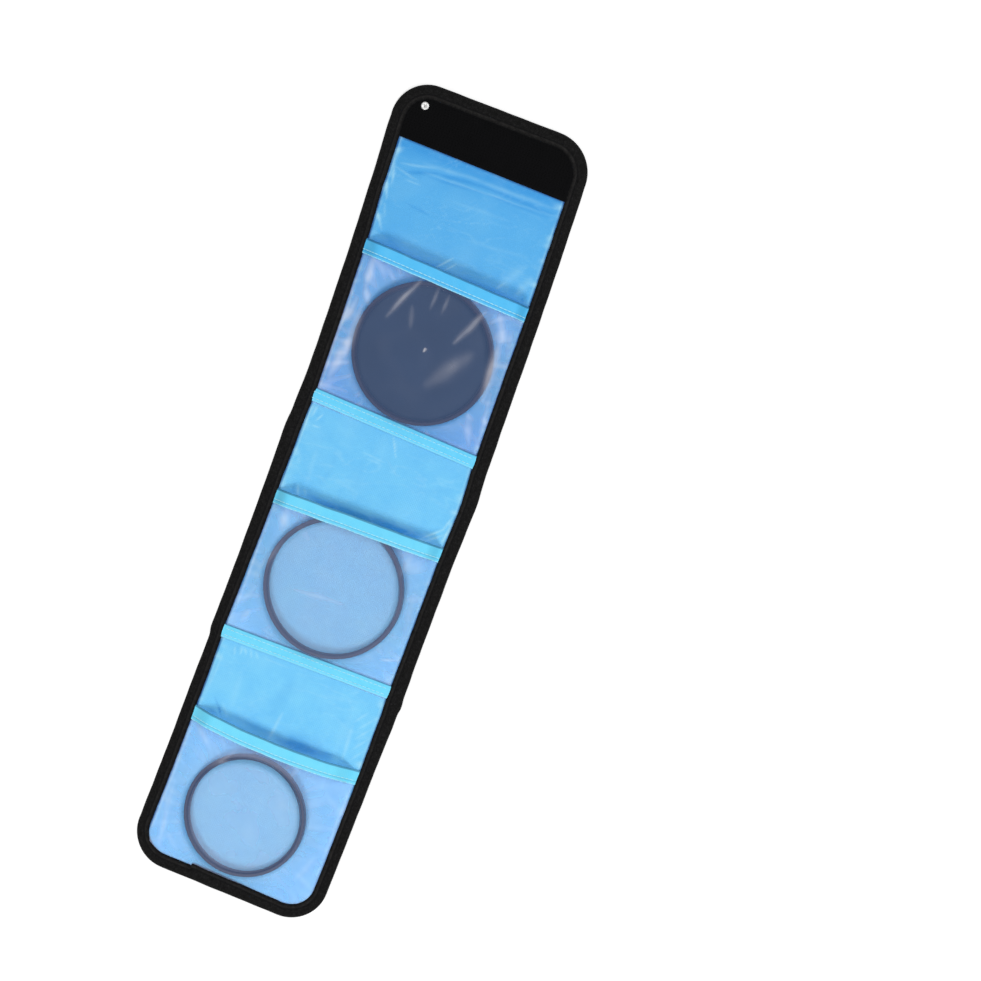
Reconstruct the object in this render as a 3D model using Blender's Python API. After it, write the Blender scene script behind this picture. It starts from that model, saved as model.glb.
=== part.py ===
"""A folding lens filter case, lying open with its lining up: +Z up, +Y towards the flap, metres.

The case is one padded strip bound all round. Four panels (flap, top, middle, bottom) are joined
by three spines. The bottom panel folds onto the middle one, both onto the top one, and the flap
wraps round the stack. Three clear pockets each hold one round filter.
"""

import math

import bmesh
import bpy
from mathutils import Matrix, Vector

# Strip
corner_radius = 0.022
flap_length = 0.036

# Sheets, from the outside in
shell_thick = 0.0005
foam_thick = 0.0015
lining_thick = 0.0004
film_thick = 0.0004
tape_thick = 0.0004
seat_gap = 0.0003

# Binding: a folded tape round the whole edge
binding_width = 0.008
binding_thick = 0.0007
binding_bulge = 0.002
lap_place = 0.036
lap_step = 0.0012

# Folding
fold_clearance = 0.001
side_clearance = 0.001
patch_clearance = 0.0004

# Pockets: a foot lies between a pocket's seam and its panel's far edge, and a mouth room between
# its mouth and its filter
pocket_side_room = 0.010
middle_head = 0.0199
top_foot = 0.0119
middle_foot = 0.0157
seam_run = 0.0016
bottom_seam_run = 0.0039
top_mouth_room = 0.0053
middle_mouth_room = 0.0006
bottom_mouth_room = 0.0118
top_mouth_tilt = 0.0017
middle_mouth_tilt = -0.0015
bottom_mouth_sag = 0.0015
mouth_tape_width = 0.0082
seam_tape_width = 0.0076
lip_run = 0.006
film_slack = 0.0005
film_tuck = 0.005
fullness_share = 4.0
shoulder_share = 0.93

# Filters
top_filter_diameter = 0.080
middle_filter_diameter = 0.080
bottom_filter_diameter = 0.070
top_filter_shift = 0.0027
middle_filter_shift = 0.0004
bottom_filter_shift = -0.0006
filter_height = 0.006
thread_height = 0.0018
thread_step = 0.0015
ring_wall = 0.0022
ledge_reach = 0.0018
ledge_thick = 0.0006
glass_thick = 0.0015
retainer_wall = 0.0012
retainer_thick = 0.0007
ring_bevel = 0.0003
grip_groove_depth = 0.0003
grip_groove_width = 0.0006

# Hook and loop patches
hook_thick = 0.0012
hook_length = 0.026
loop_width = 0.076
loop_length = 0.050
loop_margin = 0.005
loop_corner = 0.003

# Eyelet in the flap's left corner
eyelet_from_side = 0.0176
eyelet_from_end = 0.0125
eyelet_flange_radius = 0.00225
eyelet_barrel_radius = 0.0014
eyelet_bore_radius = 0.0009
eyelet_flange_thick = 0.0004
washer_radius = 0.0027
washer_thick = 0.0005
cut_overrun = 0.001

# Facet counts
corner_steps = 8
edge_steps = 4
ring_steps = 48
eyelet_steps = 24

# Heights of the stacked sheets over the surface that the case lies on
shell_bottom = binding_thick + seat_gap
shell_top = shell_bottom + shell_thick
foam_bottom = shell_top + seat_gap
foam_top = foam_bottom + foam_thick
lining_bottom = foam_top + seat_gap
lining_top = lining_bottom + lining_thick
film_seat = lining_top + seat_gap
leg_bottom = film_seat + film_thick + seat_gap
case_thick = leg_bottom + binding_thick

# How far a pocket's film stands over its seat, over the filter and at the mouth
tent_rise = filter_height + seat_gap
mouth_rise = tent_rise + tape_thick + seat_gap

# How far a pocket stands over the binding, over the filter and at the mouth
film_crest = film_seat + tent_rise + film_thick - case_thick
mouth_crest = film_seat + mouth_rise + film_thick + seat_gap + tape_thick - case_thick

# The case is as wide as its largest filter needs, and the middle panel as long
largest_filter = max(top_filter_diameter, middle_filter_diameter, bottom_filter_diameter)
case_width = largest_filter + 2 * (pocket_side_room + binding_width)
middle_depth = middle_mouth_room + middle_filter_diameter + 2 * film_slack + seam_run
middle_length = middle_head + middle_depth + middle_foot

# Each spine is as long as what folds into it is thick
lower_spine_length = film_crest + mouth_crest + fold_clearance
upper_spine_length = lower_spine_length + case_thick + mouth_crest + fold_clearance
flap_spine_length = upper_spine_length + case_thick + patch_clearance
top_length = middle_length + case_thick + side_clearance
bottom_length = middle_length - side_clearance

# Distances from the flap's end to each fold
flap_end = flap_length
flap_spine_end = flap_end + flap_spine_length
top_end = flap_spine_end + top_length
upper_spine_end = top_end + upper_spine_length
middle_end = upper_spine_end + middle_length
lower_spine_end = middle_end + lower_spine_length
case_length = lower_spine_end + bottom_length

half_width = case_width / 2
half_length = case_length / 2
opening_half = half_width - binding_width

SEGMENTS = (
    ("flap", 0.0, flap_end),
    ("flap_spine", flap_end, flap_spine_end),
    ("top_panel", flap_spine_end, top_end),
    ("upper_spine", top_end, upper_spine_end),
    ("middle_panel", upper_spine_end, middle_end),
    ("lower_spine", middle_end, lower_spine_end),
    ("bottom_panel", lower_spine_end, case_length),
)

# Each segment's parent, and the distance of the fold between them
FOLDS = (
    ("lower_spine", "middle_panel", middle_end),
    ("bottom_panel", "lower_spine", lower_spine_end),
    ("upper_spine", "middle_panel", upper_spine_end),
    ("top_panel", "upper_spine", top_end),
    ("flap_spine", "top_panel", flap_spine_end),
    ("flap", "flap_spine", flap_end),
)


def along(distance):
    """The Y of a distance measured from the flap's end."""
    return half_length - distance


# Scene, materials and pivots


def material(name, color, roughness, metallic=0.0, alpha=1.0, transmission=0.0):
    made = bpy.data.materials.new(name)
    made.use_nodes = True
    shader = made.node_tree.nodes["Principled BSDF"]
    shader.inputs["Base Color"].default_value = (*color, 1.0)
    shader.inputs["Roughness"].default_value = roughness
    shader.inputs["Metallic"].default_value = metallic
    shader.inputs["Alpha"].default_value = alpha
    shader.inputs["Transmission Weight"].default_value = transmission
    made.diffuse_color = (*color, alpha)
    return made


def make_materials():
    return {
        "outer_fabric": material("outer_fabric", (0.012, 0.012, 0.013), 0.85),
        "padding_foam": material("padding_foam", (0.55, 0.55, 0.56), 0.95),
        "lining_fabric": material("lining_fabric", (0.09, 0.45, 0.87), 0.7),
        "binding_tape": material("binding_tape", (0.009, 0.008, 0.008), 0.8),
        "window_film": material("window_film", (0.55, 0.68, 0.85), 0.25, alpha=0.35),
        "pocket_tape": material("pocket_tape", (0.16, 0.62, 0.95), 0.65),
        "hook_pile": material("hook_pile", (0.005, 0.005, 0.006), 0.95),
        "loop_pile": material("loop_pile", (0.014, 0.014, 0.015), 1.0),
        "eyelet_metal": material("eyelet_metal", (0.75, 0.74, 0.72), 0.3, metallic=1.0),
        "ring_metal": material("ring_metal", (0.012, 0.011, 0.012), 0.4, metallic=0.6),
        "dark_glass": material("dark_glass", (0.03, 0.045, 0.07), 0.03, transmission=0.8),
        "clear_glass": material("clear_glass", (0.9, 0.95, 1.0), 0.02, transmission=1.0),
    }


def make_pivots():
    """An empty on each fold's axis, so that a segment turns about its own parent's origin."""
    pivots = {}
    root = bpy.data.objects.new("middle_panel_pivot", None)
    bpy.context.collection.objects.link(root)
    pivots["middle_panel"] = root
    for child, parent, distance in FOLDS:
        pivot = bpy.data.objects.new(child + "_pivot", None)
        bpy.context.collection.objects.link(pivot)
        place = Vector((0, along(distance), case_thick))
        pivot.parent = pivots[parent]
        pivot.location = place - world_place(pivots[parent])
        pivots[child] = pivot
    return pivots


def world_place(item):
    """The world place of an empty whose parents are only moved, never turned."""
    place = Vector(item.location)
    while item.parent:
        item = item.parent
        place += item.location
    return place


def add_piece(name, mesh_data, surface, pivot, place=(0, 0, 0), smooth_angle=35):
    """One named piece from a bmesh, its normals outward, carried by a pivot."""
    bmesh.ops.recalc_face_normals(mesh_data, faces=mesh_data.faces)
    mesh = bpy.data.meshes.new(name)
    mesh_data.to_mesh(mesh)
    mesh_data.free()
    mesh.materials.append(surface)
    mesh.shade_smooth()
    mesh.set_sharp_from_angle(angle=math.radians(smooth_angle))
    piece = bpy.data.objects.new(name, mesh)
    bpy.context.collection.objects.link(piece)
    piece.parent = pivot
    piece.location = Vector(place) - world_place(pivot)
    return piece


# Flat sheets


def arc(centre_x, centre_y, radius, start, end, steps):
    turn = (end - start) / steps
    angles = [start + turn * step for step in range(steps + 1)]
    return [(centre_x + radius * math.cos(a), centre_y + radius * math.sin(a)) for a in angles]


def segment_outline(start, end, inset):
    """A segment's outline, kept in from the strip's edge, with round corners at the strip's ends."""
    side = half_width - inset
    radius = corner_radius - inset
    top = along(max(start + seat_gap / 2, inset))
    bottom = along(min(end - seat_gap / 2, case_length - inset))
    quarter = math.pi / 2
    if start == 0:
        upper = arc(side - radius, top - radius, radius, 0, quarter, corner_steps)
        upper += arc(radius - side, top - radius, radius, quarter, math.pi, corner_steps)
    else:
        upper = [(side, top), (-side, top)]
    if end == case_length:
        lower = arc(radius - side, bottom + radius, radius, math.pi, 3 * quarter, corner_steps)
        lower += arc(side - radius, bottom + radius, radius, 3 * quarter, 4 * quarter, corner_steps)
    else:
        lower = [(-side, bottom), (side, bottom)]
    return upper + lower


def slab(outline, bottom, top):
    """A closed flat sheet: the outline raised from bottom to top."""
    sheet = bmesh.new()
    face = sheet.faces.new([sheet.verts.new((x, y, bottom)) for x, y in outline])
    raised = bmesh.ops.extrude_face_region(sheet, geom=[face])
    corners = [item for item in raised["geom"] if isinstance(item, bmesh.types.BMVert)]
    bmesh.ops.translate(sheet, verts=corners, vec=(0, 0, top - bottom))
    return sheet


def make_sheets(surfaces, pivots):
    """The shell, padding and lining of each segment."""
    pieces = {}
    layers = (
        ("shell", shell_bottom, shell_top, "outer_fabric"),
        ("padding", foam_bottom, foam_top, "padding_foam"),
        ("lining", lining_bottom, lining_top, "lining_fabric"),
    )
    for segment, start, end in SEGMENTS:
        for layer, bottom, top, surface in layers:
            name = segment + "_" + layer
            sheet = slab(segment_outline(start, end, binding_bulge), bottom, top)
            pieces[name] = add_piece(name, sheet, surfaces[surface], pivots[segment])
    return pieces


# Binding


def binding_profile(width):
    """The folded tape's section: (distance in from the strip's edge, height), once round."""
    middle = case_thick / 2
    bend = arc(0, 0, 1, -math.pi / 2, math.pi / 2, 2 * edge_steps)
    inner_bulge = binding_bulge - binding_thick
    inner_middle = middle - binding_thick
    outside = [(binding_bulge * (1 - out), middle * (1 + up)) for out, up in bend]
    inside = [(binding_bulge - inner_bulge * out, middle + inner_middle * up) for out, up in bend]
    ends = ((width, case_thick), (width, leg_bottom))
    return [(width, 0), *outside, *ends, *reversed(inside), (width, binding_thick)]


def sweep(stations):
    """A binding through stations of (x, y, outward x, outward y, width)."""
    tape = bmesh.new()
    rings = []
    for x, y, out_x, out_y, width in stations:
        ring = []
        for inward, height in binding_profile(width):
            ring.append(tape.verts.new((x - out_x * inward, y - out_y * inward, height)))
        rings.append(ring)
    count = len(rings[0])
    for near, far in zip(rings, rings[1:]):
        for index in range(count):
            after = (index + 1) % count
            tape.faces.new((near[index], near[after], far[after], far[index]))
    tape.faces.new(rings[0])
    tape.faces.new(rings[-1])
    return tape


def end_stations(start_y, end_y, narrow_left):
    """Down one side, round an end and back up the other, from the left side's open edge."""
    upward = 1 if end_y > start_y else -1
    turn_y = end_y - upward * corner_radius
    core = half_width - corner_radius
    stations = [(-half_width, start_y, -1, 0, binding_width)]
    for step in range(corner_steps + 1):
        angle = math.pi / 2 * step / corner_steps
        out_x, out_y = -math.cos(angle), upward * math.sin(angle)
        x, y = corner_radius * out_x - core, turn_y + corner_radius * out_y
        width = binding_width - narrow_left * step / corner_steps
        stations.append((x, y, out_x, out_y, width))
    if narrow_left:
        lap_x = lap_place - half_width
        stations.append((lap_x, end_y, 0, upward, binding_width - narrow_left))
        stations.append((lap_x + seat_gap, end_y, 0, upward, binding_width))
    for step in range(corner_steps + 1):
        angle = math.pi / 2 * step / corner_steps
        out_x, out_y = math.sin(angle), upward * math.cos(angle)
        x, y = core + corner_radius * out_x, turn_y + corner_radius * out_y
        stations.append((x, y, out_x, out_y, binding_width))
    stations.append((half_width, start_y, 1, 0, binding_width))
    return stations


def make_bindings(surfaces, pivots):
    surface = surfaces["binding_tape"]
    for segment, start, end in SEGMENTS:
        top = along(start + seat_gap / 2)
        bottom = along(end - seat_gap / 2)
        if start == 0:
            tape = sweep(end_stations(bottom, along(start), 0))
            add_piece("flap_binding", tape, surface, pivots[segment])
        elif end == case_length:
            tape = sweep(end_stations(top, along(end), lap_step))
            add_piece("bottom_panel_binding", tape, surface, pivots[segment])
        else:
            for side_name, side in (("left", -1), ("right", 1)):
                ends = [(side * half_width, y, side, 0, binding_width) for y in (top, bottom)]
                add_piece(segment + "_binding_" + side_name, sweep(ends), surface, pivots[segment])


# Pockets


def falloff(distance, run):
    """1 up to distance 0, then half a wave down to 0 at run."""
    share = min(max(distance / run, 0), 1)
    return (1 + math.cos(math.pi * share)) / 2


class Pocket:
    """One clear pocket: where its mouth and seam lie, and the film's height at any place."""

    def __init__(self, panel, seam, run, tuck, diameter, shift, room, tilt, sag):
        self.name = panel.replace("panel", "pocket")
        self.panel = panel
        self.seam = seam
        self.tuck = tuck
        self.radius = diameter / 2
        self.shift = shift
        self.flat_radius = self.radius + film_slack
        self.centre = seam - run - self.flat_radius
        self.mouth = self.centre - self.flat_radius - room
        self.tilt = tilt
        self.sag = sag

    def mouth_line(self, x):
        share = x / opening_half
        return self.mouth + self.tilt * share + self.sag * (1 - share * share)

    def height(self, x, distance):
        """How far the film's underside stands over its seat."""
        seam_half = opening_half - seat_gap
        side_edge = self.flat_radius + math.copysign(self.shift, x * self.shift)
        side = falloff(abs(x) - side_edge, seam_half - side_edge)
        away = min(abs(x - self.shift) / self.flat_radius, shoulder_share)
        bend = (1 - away ** fullness_share) ** (1 / fullness_share)
        near = self.centre + self.flat_radius * bend
        end = falloff(distance - near, self.seam - near)
        lip = falloff(distance - self.mouth_line(x) - mouth_tape_width, lip_run)
        return (tent_rise + (mouth_rise - tent_rise) * lip) * side * end

    def point(self, x, distance, lift):
        """A point lifted off the film's underside, square to it."""
        step = seat_gap / 2
        slope_x = (self.height(x + step, distance) - self.height(x - step, distance)) / (2 * step)
        slope_s = (self.height(x, distance + step) - self.height(x, distance - step)) / (2 * step)
        normal = Vector((-slope_x, slope_s, 1)).normalized()
        base = Vector((x, along(distance), film_seat + self.height(x, distance)))
        return base + normal * lift


def side_places(pocket, reaches):
    """The places across the strip where the film's section is drawn, out to both sides' reaches."""
    seam_half = opening_half - seat_gap
    places = []
    for side, reach in zip((-1, 1), reaches):
        edge = pocket.flat_radius + side * pocket.shift
        slope = seam_half - edge
        flat_shares = (0.4, 0.7, 0.88, 1)
        slope_shares = (0.3, 0.55, 0.8, 1)
        half = [edge * share for share in flat_shares]
        half += [edge + slope * share for share in slope_shares]
        half = [place for place in half if place < reach] + [reach]
        places.append([side * place for place in half])
    return list(reversed(places[0])) + [0.0] + places[1]


def row_places(pocket):
    """The places along the strip where the film's section is drawn, at the strip's middle."""
    centre, flat = pocket.centre, pocket.flat_radius
    start = pocket.mouth_line(0) + tape_thick + seat_gap
    lip_start = pocket.mouth_line(0) + mouth_tape_width
    rows = [start, lip_start, lip_start + lip_run / 2, lip_start + lip_run, centre]
    flat_shares = (0.45, 0.7, 0.84, 0.93, 1)
    rows += [centre + flat * share for share in flat_shares]
    run = pocket.seam - centre - flat
    slope_shares = (0.35, 0.65, 1)
    rows += [centre + flat + run * share for share in slope_shares]
    return rows + [pocket.seam + pocket.tuck]


def film_half(distance):
    """Half the film's width: it follows the strip's round corners at the bottom end."""
    inset = binding_width - film_tuck
    side = half_width - inset
    radius = corner_radius - inset
    below = distance - (case_length - corner_radius)
    if below <= 0:
        return side
    return side - radius + math.sqrt(max(radius ** 2 - below ** 2, 0))


def make_window(pocket, surface, pivot):
    film = bmesh.new()
    reach = film_half(pocket.mouth)
    columns = side_places(pocket, (reach, reach))
    rows = row_places(pocket)
    faces_up, faces_down = [], []
    for row in rows:
        narrow = film_half(row) / reach
        upper, lower = [], []
        for column in columns:
            x = column * narrow
            shift = pocket.mouth_line(x) - pocket.mouth_line(0)
            distance = row + shift * falloff(row - pocket.mouth - mouth_tape_width, pocket.radius)
            upper.append(film.verts.new(pocket.point(x, distance, film_thick)))
            lower.append(film.verts.new(pocket.point(x, distance, 0)))
        faces_up.append(upper)
        faces_down.append(lower)
    close_sheet(film, faces_up, faces_down)
    return add_piece(pocket.name + "_window", film, surface, pivot, smooth_angle=60)


def close_sheet(sheet, upper, lower):
    """Faces over and under two like grids of points, and round their edge."""
    rows, columns = len(upper), len(upper[0])
    for row in range(rows - 1):
        for column in range(columns - 1):
            for grid in (upper, lower):
                corners = (grid[row][column], grid[row][column + 1])
                corners += (grid[row + 1][column + 1], grid[row + 1][column])
                sheet.faces.new(corners)
    for row in range(rows - 1):
        for column in (0, columns - 1):
            corners = (upper[row][column], upper[row + 1][column])
            corners += (lower[row + 1][column], lower[row][column])
            sheet.faces.new(corners)
    for column in range(columns - 1):
        for row in (0, rows - 1):
            corners = (upper[row][column], upper[row][column + 1])
            corners += (lower[row][column + 1], lower[row][column])
            sheet.faces.new(corners)


def tape_section():
    """The folded mouth tape's section: (distance in from the mouth line, lift off the film)."""
    fold = tape_thick + seat_gap
    outer_top = film_thick + seat_gap + tape_thick
    inner_top = film_thick + seat_gap
    outer_bottom = -seat_gap - tape_thick
    inner_bottom = -seat_gap
    middle = film_thick / 2
    return (
        (mouth_tape_width, outer_top),
        (mouth_tape_width / 2, outer_top),
        (fold, outer_top),
        (tape_thick / 2, (outer_top + middle) / 2),
        (0, middle),
        (tape_thick / 2, (outer_bottom + middle) / 2),
        (fold, outer_bottom),
        (mouth_tape_width / 2, outer_bottom),
        (mouth_tape_width, outer_bottom),
        (mouth_tape_width, inner_bottom),
        (mouth_tape_width / 2, inner_bottom),
        (fold, inner_bottom),
        (tape_thick, middle),
        (fold, inner_top),
        (mouth_tape_width / 2, inner_top),
        (mouth_tape_width, inner_top),
    )


def tape_reaches(pocket):
    """Where the mouth tape ends on each side, at the last place with room for its lower leg."""
    seam_half = opening_half - seat_gap
    needed = (tape_thick + 2 * seat_gap) / mouth_rise
    share = math.acos(2 * needed - 1) / math.pi
    edges = (pocket.flat_radius - pocket.shift, pocket.flat_radius + pocket.shift)
    return [edge + (seam_half - edge) * share for edge in edges]


def make_mouth_tape(pocket, surface, pivot):
    tape = bmesh.new()
    rings = []
    for x in side_places(pocket, tape_reaches(pocket)):
        ring = []
        for inward, lift in tape_section():
            ring.append(tape.verts.new(pocket.point(x, pocket.mouth_line(x) + inward, lift)))
        rings.append(ring)
    count = len(rings[0])
    for near, far in zip(rings, rings[1:]):
        for index in range(count):
            after = (index + 1) % count
            tape.faces.new((near[index], near[after], far[after], far[index]))
    tape.faces.new(rings[0])
    tape.faces.new(rings[-1])
    return add_piece(pocket.name + "_mouth_tape", tape, surface, pivot, smooth_angle=60)


def make_seam_tape(pocket, surface, pivot):
    """The flat tape sewn over the film's lower hem."""
    side = opening_half - seat_gap
    top = along(pocket.seam + seat_gap)
    bottom = top - seam_tape_width
    outline = [(side, top), (-side, top), (-side, bottom), (side, bottom)]
    tape = slab(outline, leg_bottom, leg_bottom + tape_thick)
    return add_piece(pocket.name + "_seam_tape", tape, surface, pivot)


# Filters


def turned(profile, steps):
    """A ring turned about Z from its closed section of (radius, height)."""
    ring = bmesh.new()
    points = [ring.verts.new((radius, 0, height)) for radius, height in profile]
    edges = [ring.edges.new((points[i], points[(i + 1) % len(points)])) for i in range(len(points))]
    bmesh.ops.spin(
        ring,
        geom=points + edges,
        cent=(0, 0, 0),
        axis=(0, 0, 1),
        angle=math.tau,
        steps=steps,
        use_merge=True,
    )
    return ring


def ring_profile(radius):
    """A threaded filter ring: boss below, grip groove outside, ledge for the glass inside."""
    bore = radius - ring_wall
    ledge_top = thread_height + ledge_thick
    groove = (thread_height + filter_height) / 2
    return (
        (radius - thread_step, 0),
        (radius - thread_step, thread_height),
        (radius - ring_bevel, thread_height),
        (radius, thread_height + ring_bevel),
        (radius, groove - grip_groove_width / 2),
        (radius - grip_groove_depth, groove),
        (radius, groove + grip_groove_width / 2),
        (radius, filter_height - ring_bevel),
        (radius - ring_bevel, filter_height),
        (bore, filter_height),
        (bore, ledge_top),
        (bore - ledge_reach, ledge_top),
        (bore - ledge_reach, thread_height),
        (bore, thread_height),
        (bore, 0),
    )


def make_filter(pocket, surfaces, glass, pivot):
    """The ring, its glass on the ledge and the ring that holds the glass down."""
    place = Vector((pocket.shift, along(pocket.centre), film_seat))
    filter_name = pocket.name.replace("pocket", "filter")
    bore = pocket.radius - ring_wall
    glass_bottom = thread_height + ledge_thick + seat_gap
    glass_top = glass_bottom + glass_thick
    ring = turned(ring_profile(pocket.radius), ring_steps)
    add_piece(filter_name + "_ring", ring, surfaces["ring_metal"], pivot, place)

    pane = bmesh.new()
    bmesh.ops.create_cone(
        pane,
        cap_ends=True,
        segments=ring_steps,
        radius1=bore - seat_gap,
        radius2=bore - seat_gap,
        depth=glass_thick,
        matrix=Matrix.Translation((0, 0, glass_bottom + glass_thick / 2)),
    )
    add_piece(filter_name + "_glass", pane, surfaces[glass], pivot, place)

    outer = bore - seat_gap
    bottom = glass_top + seat_gap
    retainer = (
        (outer - retainer_wall, bottom),
        (outer, bottom),
        (outer, bottom + retainer_thick),
        (outer - retainer_wall, bottom + retainer_thick / 2),
    )
    ring = turned(retainer, ring_steps)
    add_piece(filter_name + "_retainer", ring, surfaces["ring_metal"], pivot, place)


# Patches and eyelet


def make_patches(surfaces, pivots):
    inset = binding_width + seat_gap
    outline = segment_outline(0, binding_width + hook_length, inset)
    hook_bottom = lining_top + seat_gap
    hook = slab(outline, hook_bottom, hook_bottom + hook_thick)
    hook_patch = add_piece("hook_patch", hook, surfaces["hook_pile"], pivots["flap"])

    low = along(middle_end - loop_margin)
    high = low + loop_length
    side = loop_width / 2
    quarter = math.pi / 2
    corners = (
        (side, high, 0),
        (-side, high, quarter),
        (-side, low, 2 * quarter),
        (side, low, 3 * quarter),
    )
    outline = []
    for x, y, start in corners:
        centre_x = x - math.copysign(loop_corner, x)
        centre_y = y - loop_corner if y == high else y + loop_corner
        outline += arc(centre_x, centre_y, loop_corner, start, start + quarter, edge_steps)
    loop = slab(outline, 0, binding_thick)
    add_piece("loop_patch", loop, surfaces["loop_pile"], pivots["middle_panel"])
    return hook_patch


def make_eyelet(surfaces, pivot, pierced):
    """A tubular eyelet through the flap, its washer behind, and the hole that it sits in."""
    place = Vector((eyelet_from_side - half_width, along(eyelet_from_end), 0))
    flange_bottom = lining_top + seat_gap + hook_thick + seat_gap
    barrel_end = shell_bottom - seat_gap - washer_thick
    rim = eyelet_flange_thick / 2
    barrel = (
        (eyelet_bore_radius, barrel_end),
        (eyelet_barrel_radius, barrel_end),
        (eyelet_barrel_radius, flange_bottom),
        (eyelet_flange_radius, flange_bottom),
        (eyelet_flange_radius, flange_bottom + rim),
        (eyelet_flange_radius - rim, flange_bottom + eyelet_flange_thick),
        (eyelet_bore_radius + rim, flange_bottom + eyelet_flange_thick),
        (eyelet_bore_radius, flange_bottom + rim),
    )
    add_piece("eyelet", turned(barrel, eyelet_steps), surfaces["eyelet_metal"], pivot, place)
    hole = eyelet_barrel_radius + seat_gap
    washer = (
        (hole, barrel_end),
        (washer_radius, barrel_end),
        (washer_radius, barrel_end + washer_thick),
        (hole, barrel_end + washer_thick),
    )
    add_piece("eyelet_washer", turned(washer, eyelet_steps), surfaces["eyelet_metal"], pivot, place)

    drill = bmesh.new()
    depth = flange_bottom + 2 * cut_overrun
    bmesh.ops.create_cone(
        drill, cap_ends=True, segments=eyelet_steps, radius1=hole, radius2=hole, depth=depth
    )
    cutter = add_piece("eyelet_cutter", drill, surfaces["eyelet_metal"], pivot, place)
    cutter.location.z += flange_bottom / 2
    cutter.hide_render = True
    cutter.display_type = "WIRE"
    for piece in pierced:
        cut = piece.modifiers.new("eyelet_hole", "BOOLEAN")
        cut.object = cutter
        cut.operation = "DIFFERENCE"
        cut.solver = "EXACT"


def main():
    for item in list(bpy.data.objects):
        bpy.data.objects.remove(item, do_unlink=True)
    surfaces = make_materials()
    pivots = make_pivots()
    sheets = make_sheets(surfaces, pivots)
    make_bindings(surfaces, pivots)
    pockets = (
        Pocket(
            "top_panel",
            seam=top_end - top_foot,
            run=seam_run,
            tuck=seam_tape_width,
            diameter=top_filter_diameter,
            shift=top_filter_shift,
            room=top_mouth_room,
            tilt=top_mouth_tilt,
            sag=0,
        ),
        Pocket(
            "middle_panel",
            seam=middle_end - middle_foot,
            run=seam_run,
            tuck=seam_tape_width,
            diameter=middle_filter_diameter,
            shift=middle_filter_shift,
            room=middle_mouth_room,
            tilt=middle_mouth_tilt,
            sag=0,
        ),
        Pocket(
            "bottom_panel",
            seam=case_length - binding_width - seat_gap,
            run=bottom_seam_run,
            tuck=film_tuck,
            diameter=bottom_filter_diameter,
            shift=bottom_filter_shift,
            room=bottom_mouth_room,
            tilt=0,
            sag=bottom_mouth_sag,
        ),
    )
    for pocket in pockets:
        pivot = pivots[pocket.panel]
        make_window(pocket, surfaces["window_film"], pivot)
        make_mouth_tape(pocket, surfaces["pocket_tape"], pivot)
        glass = "dark_glass" if pocket is pockets[0] else "clear_glass"
        make_filter(pocket, surfaces, glass, pivot)
    for pocket in pockets[:2]:
        make_seam_tape(pocket, surfaces["pocket_tape"], pivots[pocket.panel])
    hook_patch = make_patches(surfaces, pivots)
    pierced = [hook_patch, sheets["flap_lining"], sheets["flap_padding"], sheets["flap_shell"]]
    make_eyelet(surfaces, pivots["flap"], pierced)


main()
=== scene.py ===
import bpy
import math
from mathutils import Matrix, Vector, noise


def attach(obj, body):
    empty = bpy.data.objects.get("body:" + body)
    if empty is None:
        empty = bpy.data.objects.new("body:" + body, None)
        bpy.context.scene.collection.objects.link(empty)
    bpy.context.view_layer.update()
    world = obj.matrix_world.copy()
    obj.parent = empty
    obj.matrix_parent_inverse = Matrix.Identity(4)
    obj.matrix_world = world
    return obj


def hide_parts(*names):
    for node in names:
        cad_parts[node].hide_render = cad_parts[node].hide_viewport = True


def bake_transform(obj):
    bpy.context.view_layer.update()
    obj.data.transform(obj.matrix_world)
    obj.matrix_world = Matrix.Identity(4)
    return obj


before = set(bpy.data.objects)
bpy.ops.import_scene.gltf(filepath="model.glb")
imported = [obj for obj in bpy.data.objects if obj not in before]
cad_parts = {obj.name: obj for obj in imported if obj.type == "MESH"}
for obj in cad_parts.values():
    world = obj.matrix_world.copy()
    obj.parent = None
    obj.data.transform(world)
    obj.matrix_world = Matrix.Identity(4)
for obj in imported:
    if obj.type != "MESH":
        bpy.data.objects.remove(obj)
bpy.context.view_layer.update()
bpy.ops.object.select_all(action="DESELECT")

# The strip lies along Y, and "run" is the distance from the flap's end. All is in metres, apart
# from the tables that say millimetres.
strip = {
    "halfLength": 0.235,
    "halfWidth": 0.058,
    "corner": 0.022,
    "inset": 0.0022,      # how far the sheets stop short of the strip's edge
    "bendReach": 0.005,   # half of the run that a fold takes up
    "bow": {"shift": -0.00267, "depth": 0.00401, "skew": 0.0008},
    "spans": [            # each names the bodies on either side of its fold and the fold's run
        {"name": "flapEnd", "bodies": ("flap", "flap_spine"), "start": 0.0, "end": 0.05225, "fold": 0.036,
         "segments": ["flap"]},
        {"name": "flapFold", "bodies": ("flap_spine", "top_panel"), "start": 0.05225, "end": 0.13125,
         "fold": 0.0685, "segments": ["flap_spine"]},
        {"name": "topEnd", "bodies": ("top_panel", "upper_spine"), "start": 0.13125, "end": 0.2072,
         "fold": 0.194, "segments": ["top_panel"]},
        {"name": "upperFold", "bodies": ("upper_spine", "middle_panel"), "start": 0.2072, "end": 0.2798,
         "fold": 0.2204, "segments": ["upper_spine"]},
        {"name": "middleEnd", "bodies": ("middle_panel", "lower_spine"), "start": 0.2798, "end": 0.3457,
         "fold": 0.3392, "segments": ["middle_panel"]},
        {"name": "bottomEnd", "bodies": ("lower_spine", "bottom_panel"), "start": 0.3457, "end": 0.47,
         "fold": 0.3522, "segments": ["lower_spine", "bottom_panel"]},
    ],
}
heights = {"shell": 0.00125, "padding": 0.00255, "lining": 0.0039, "seat": 0.0043, "top": 0.0057}

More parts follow.
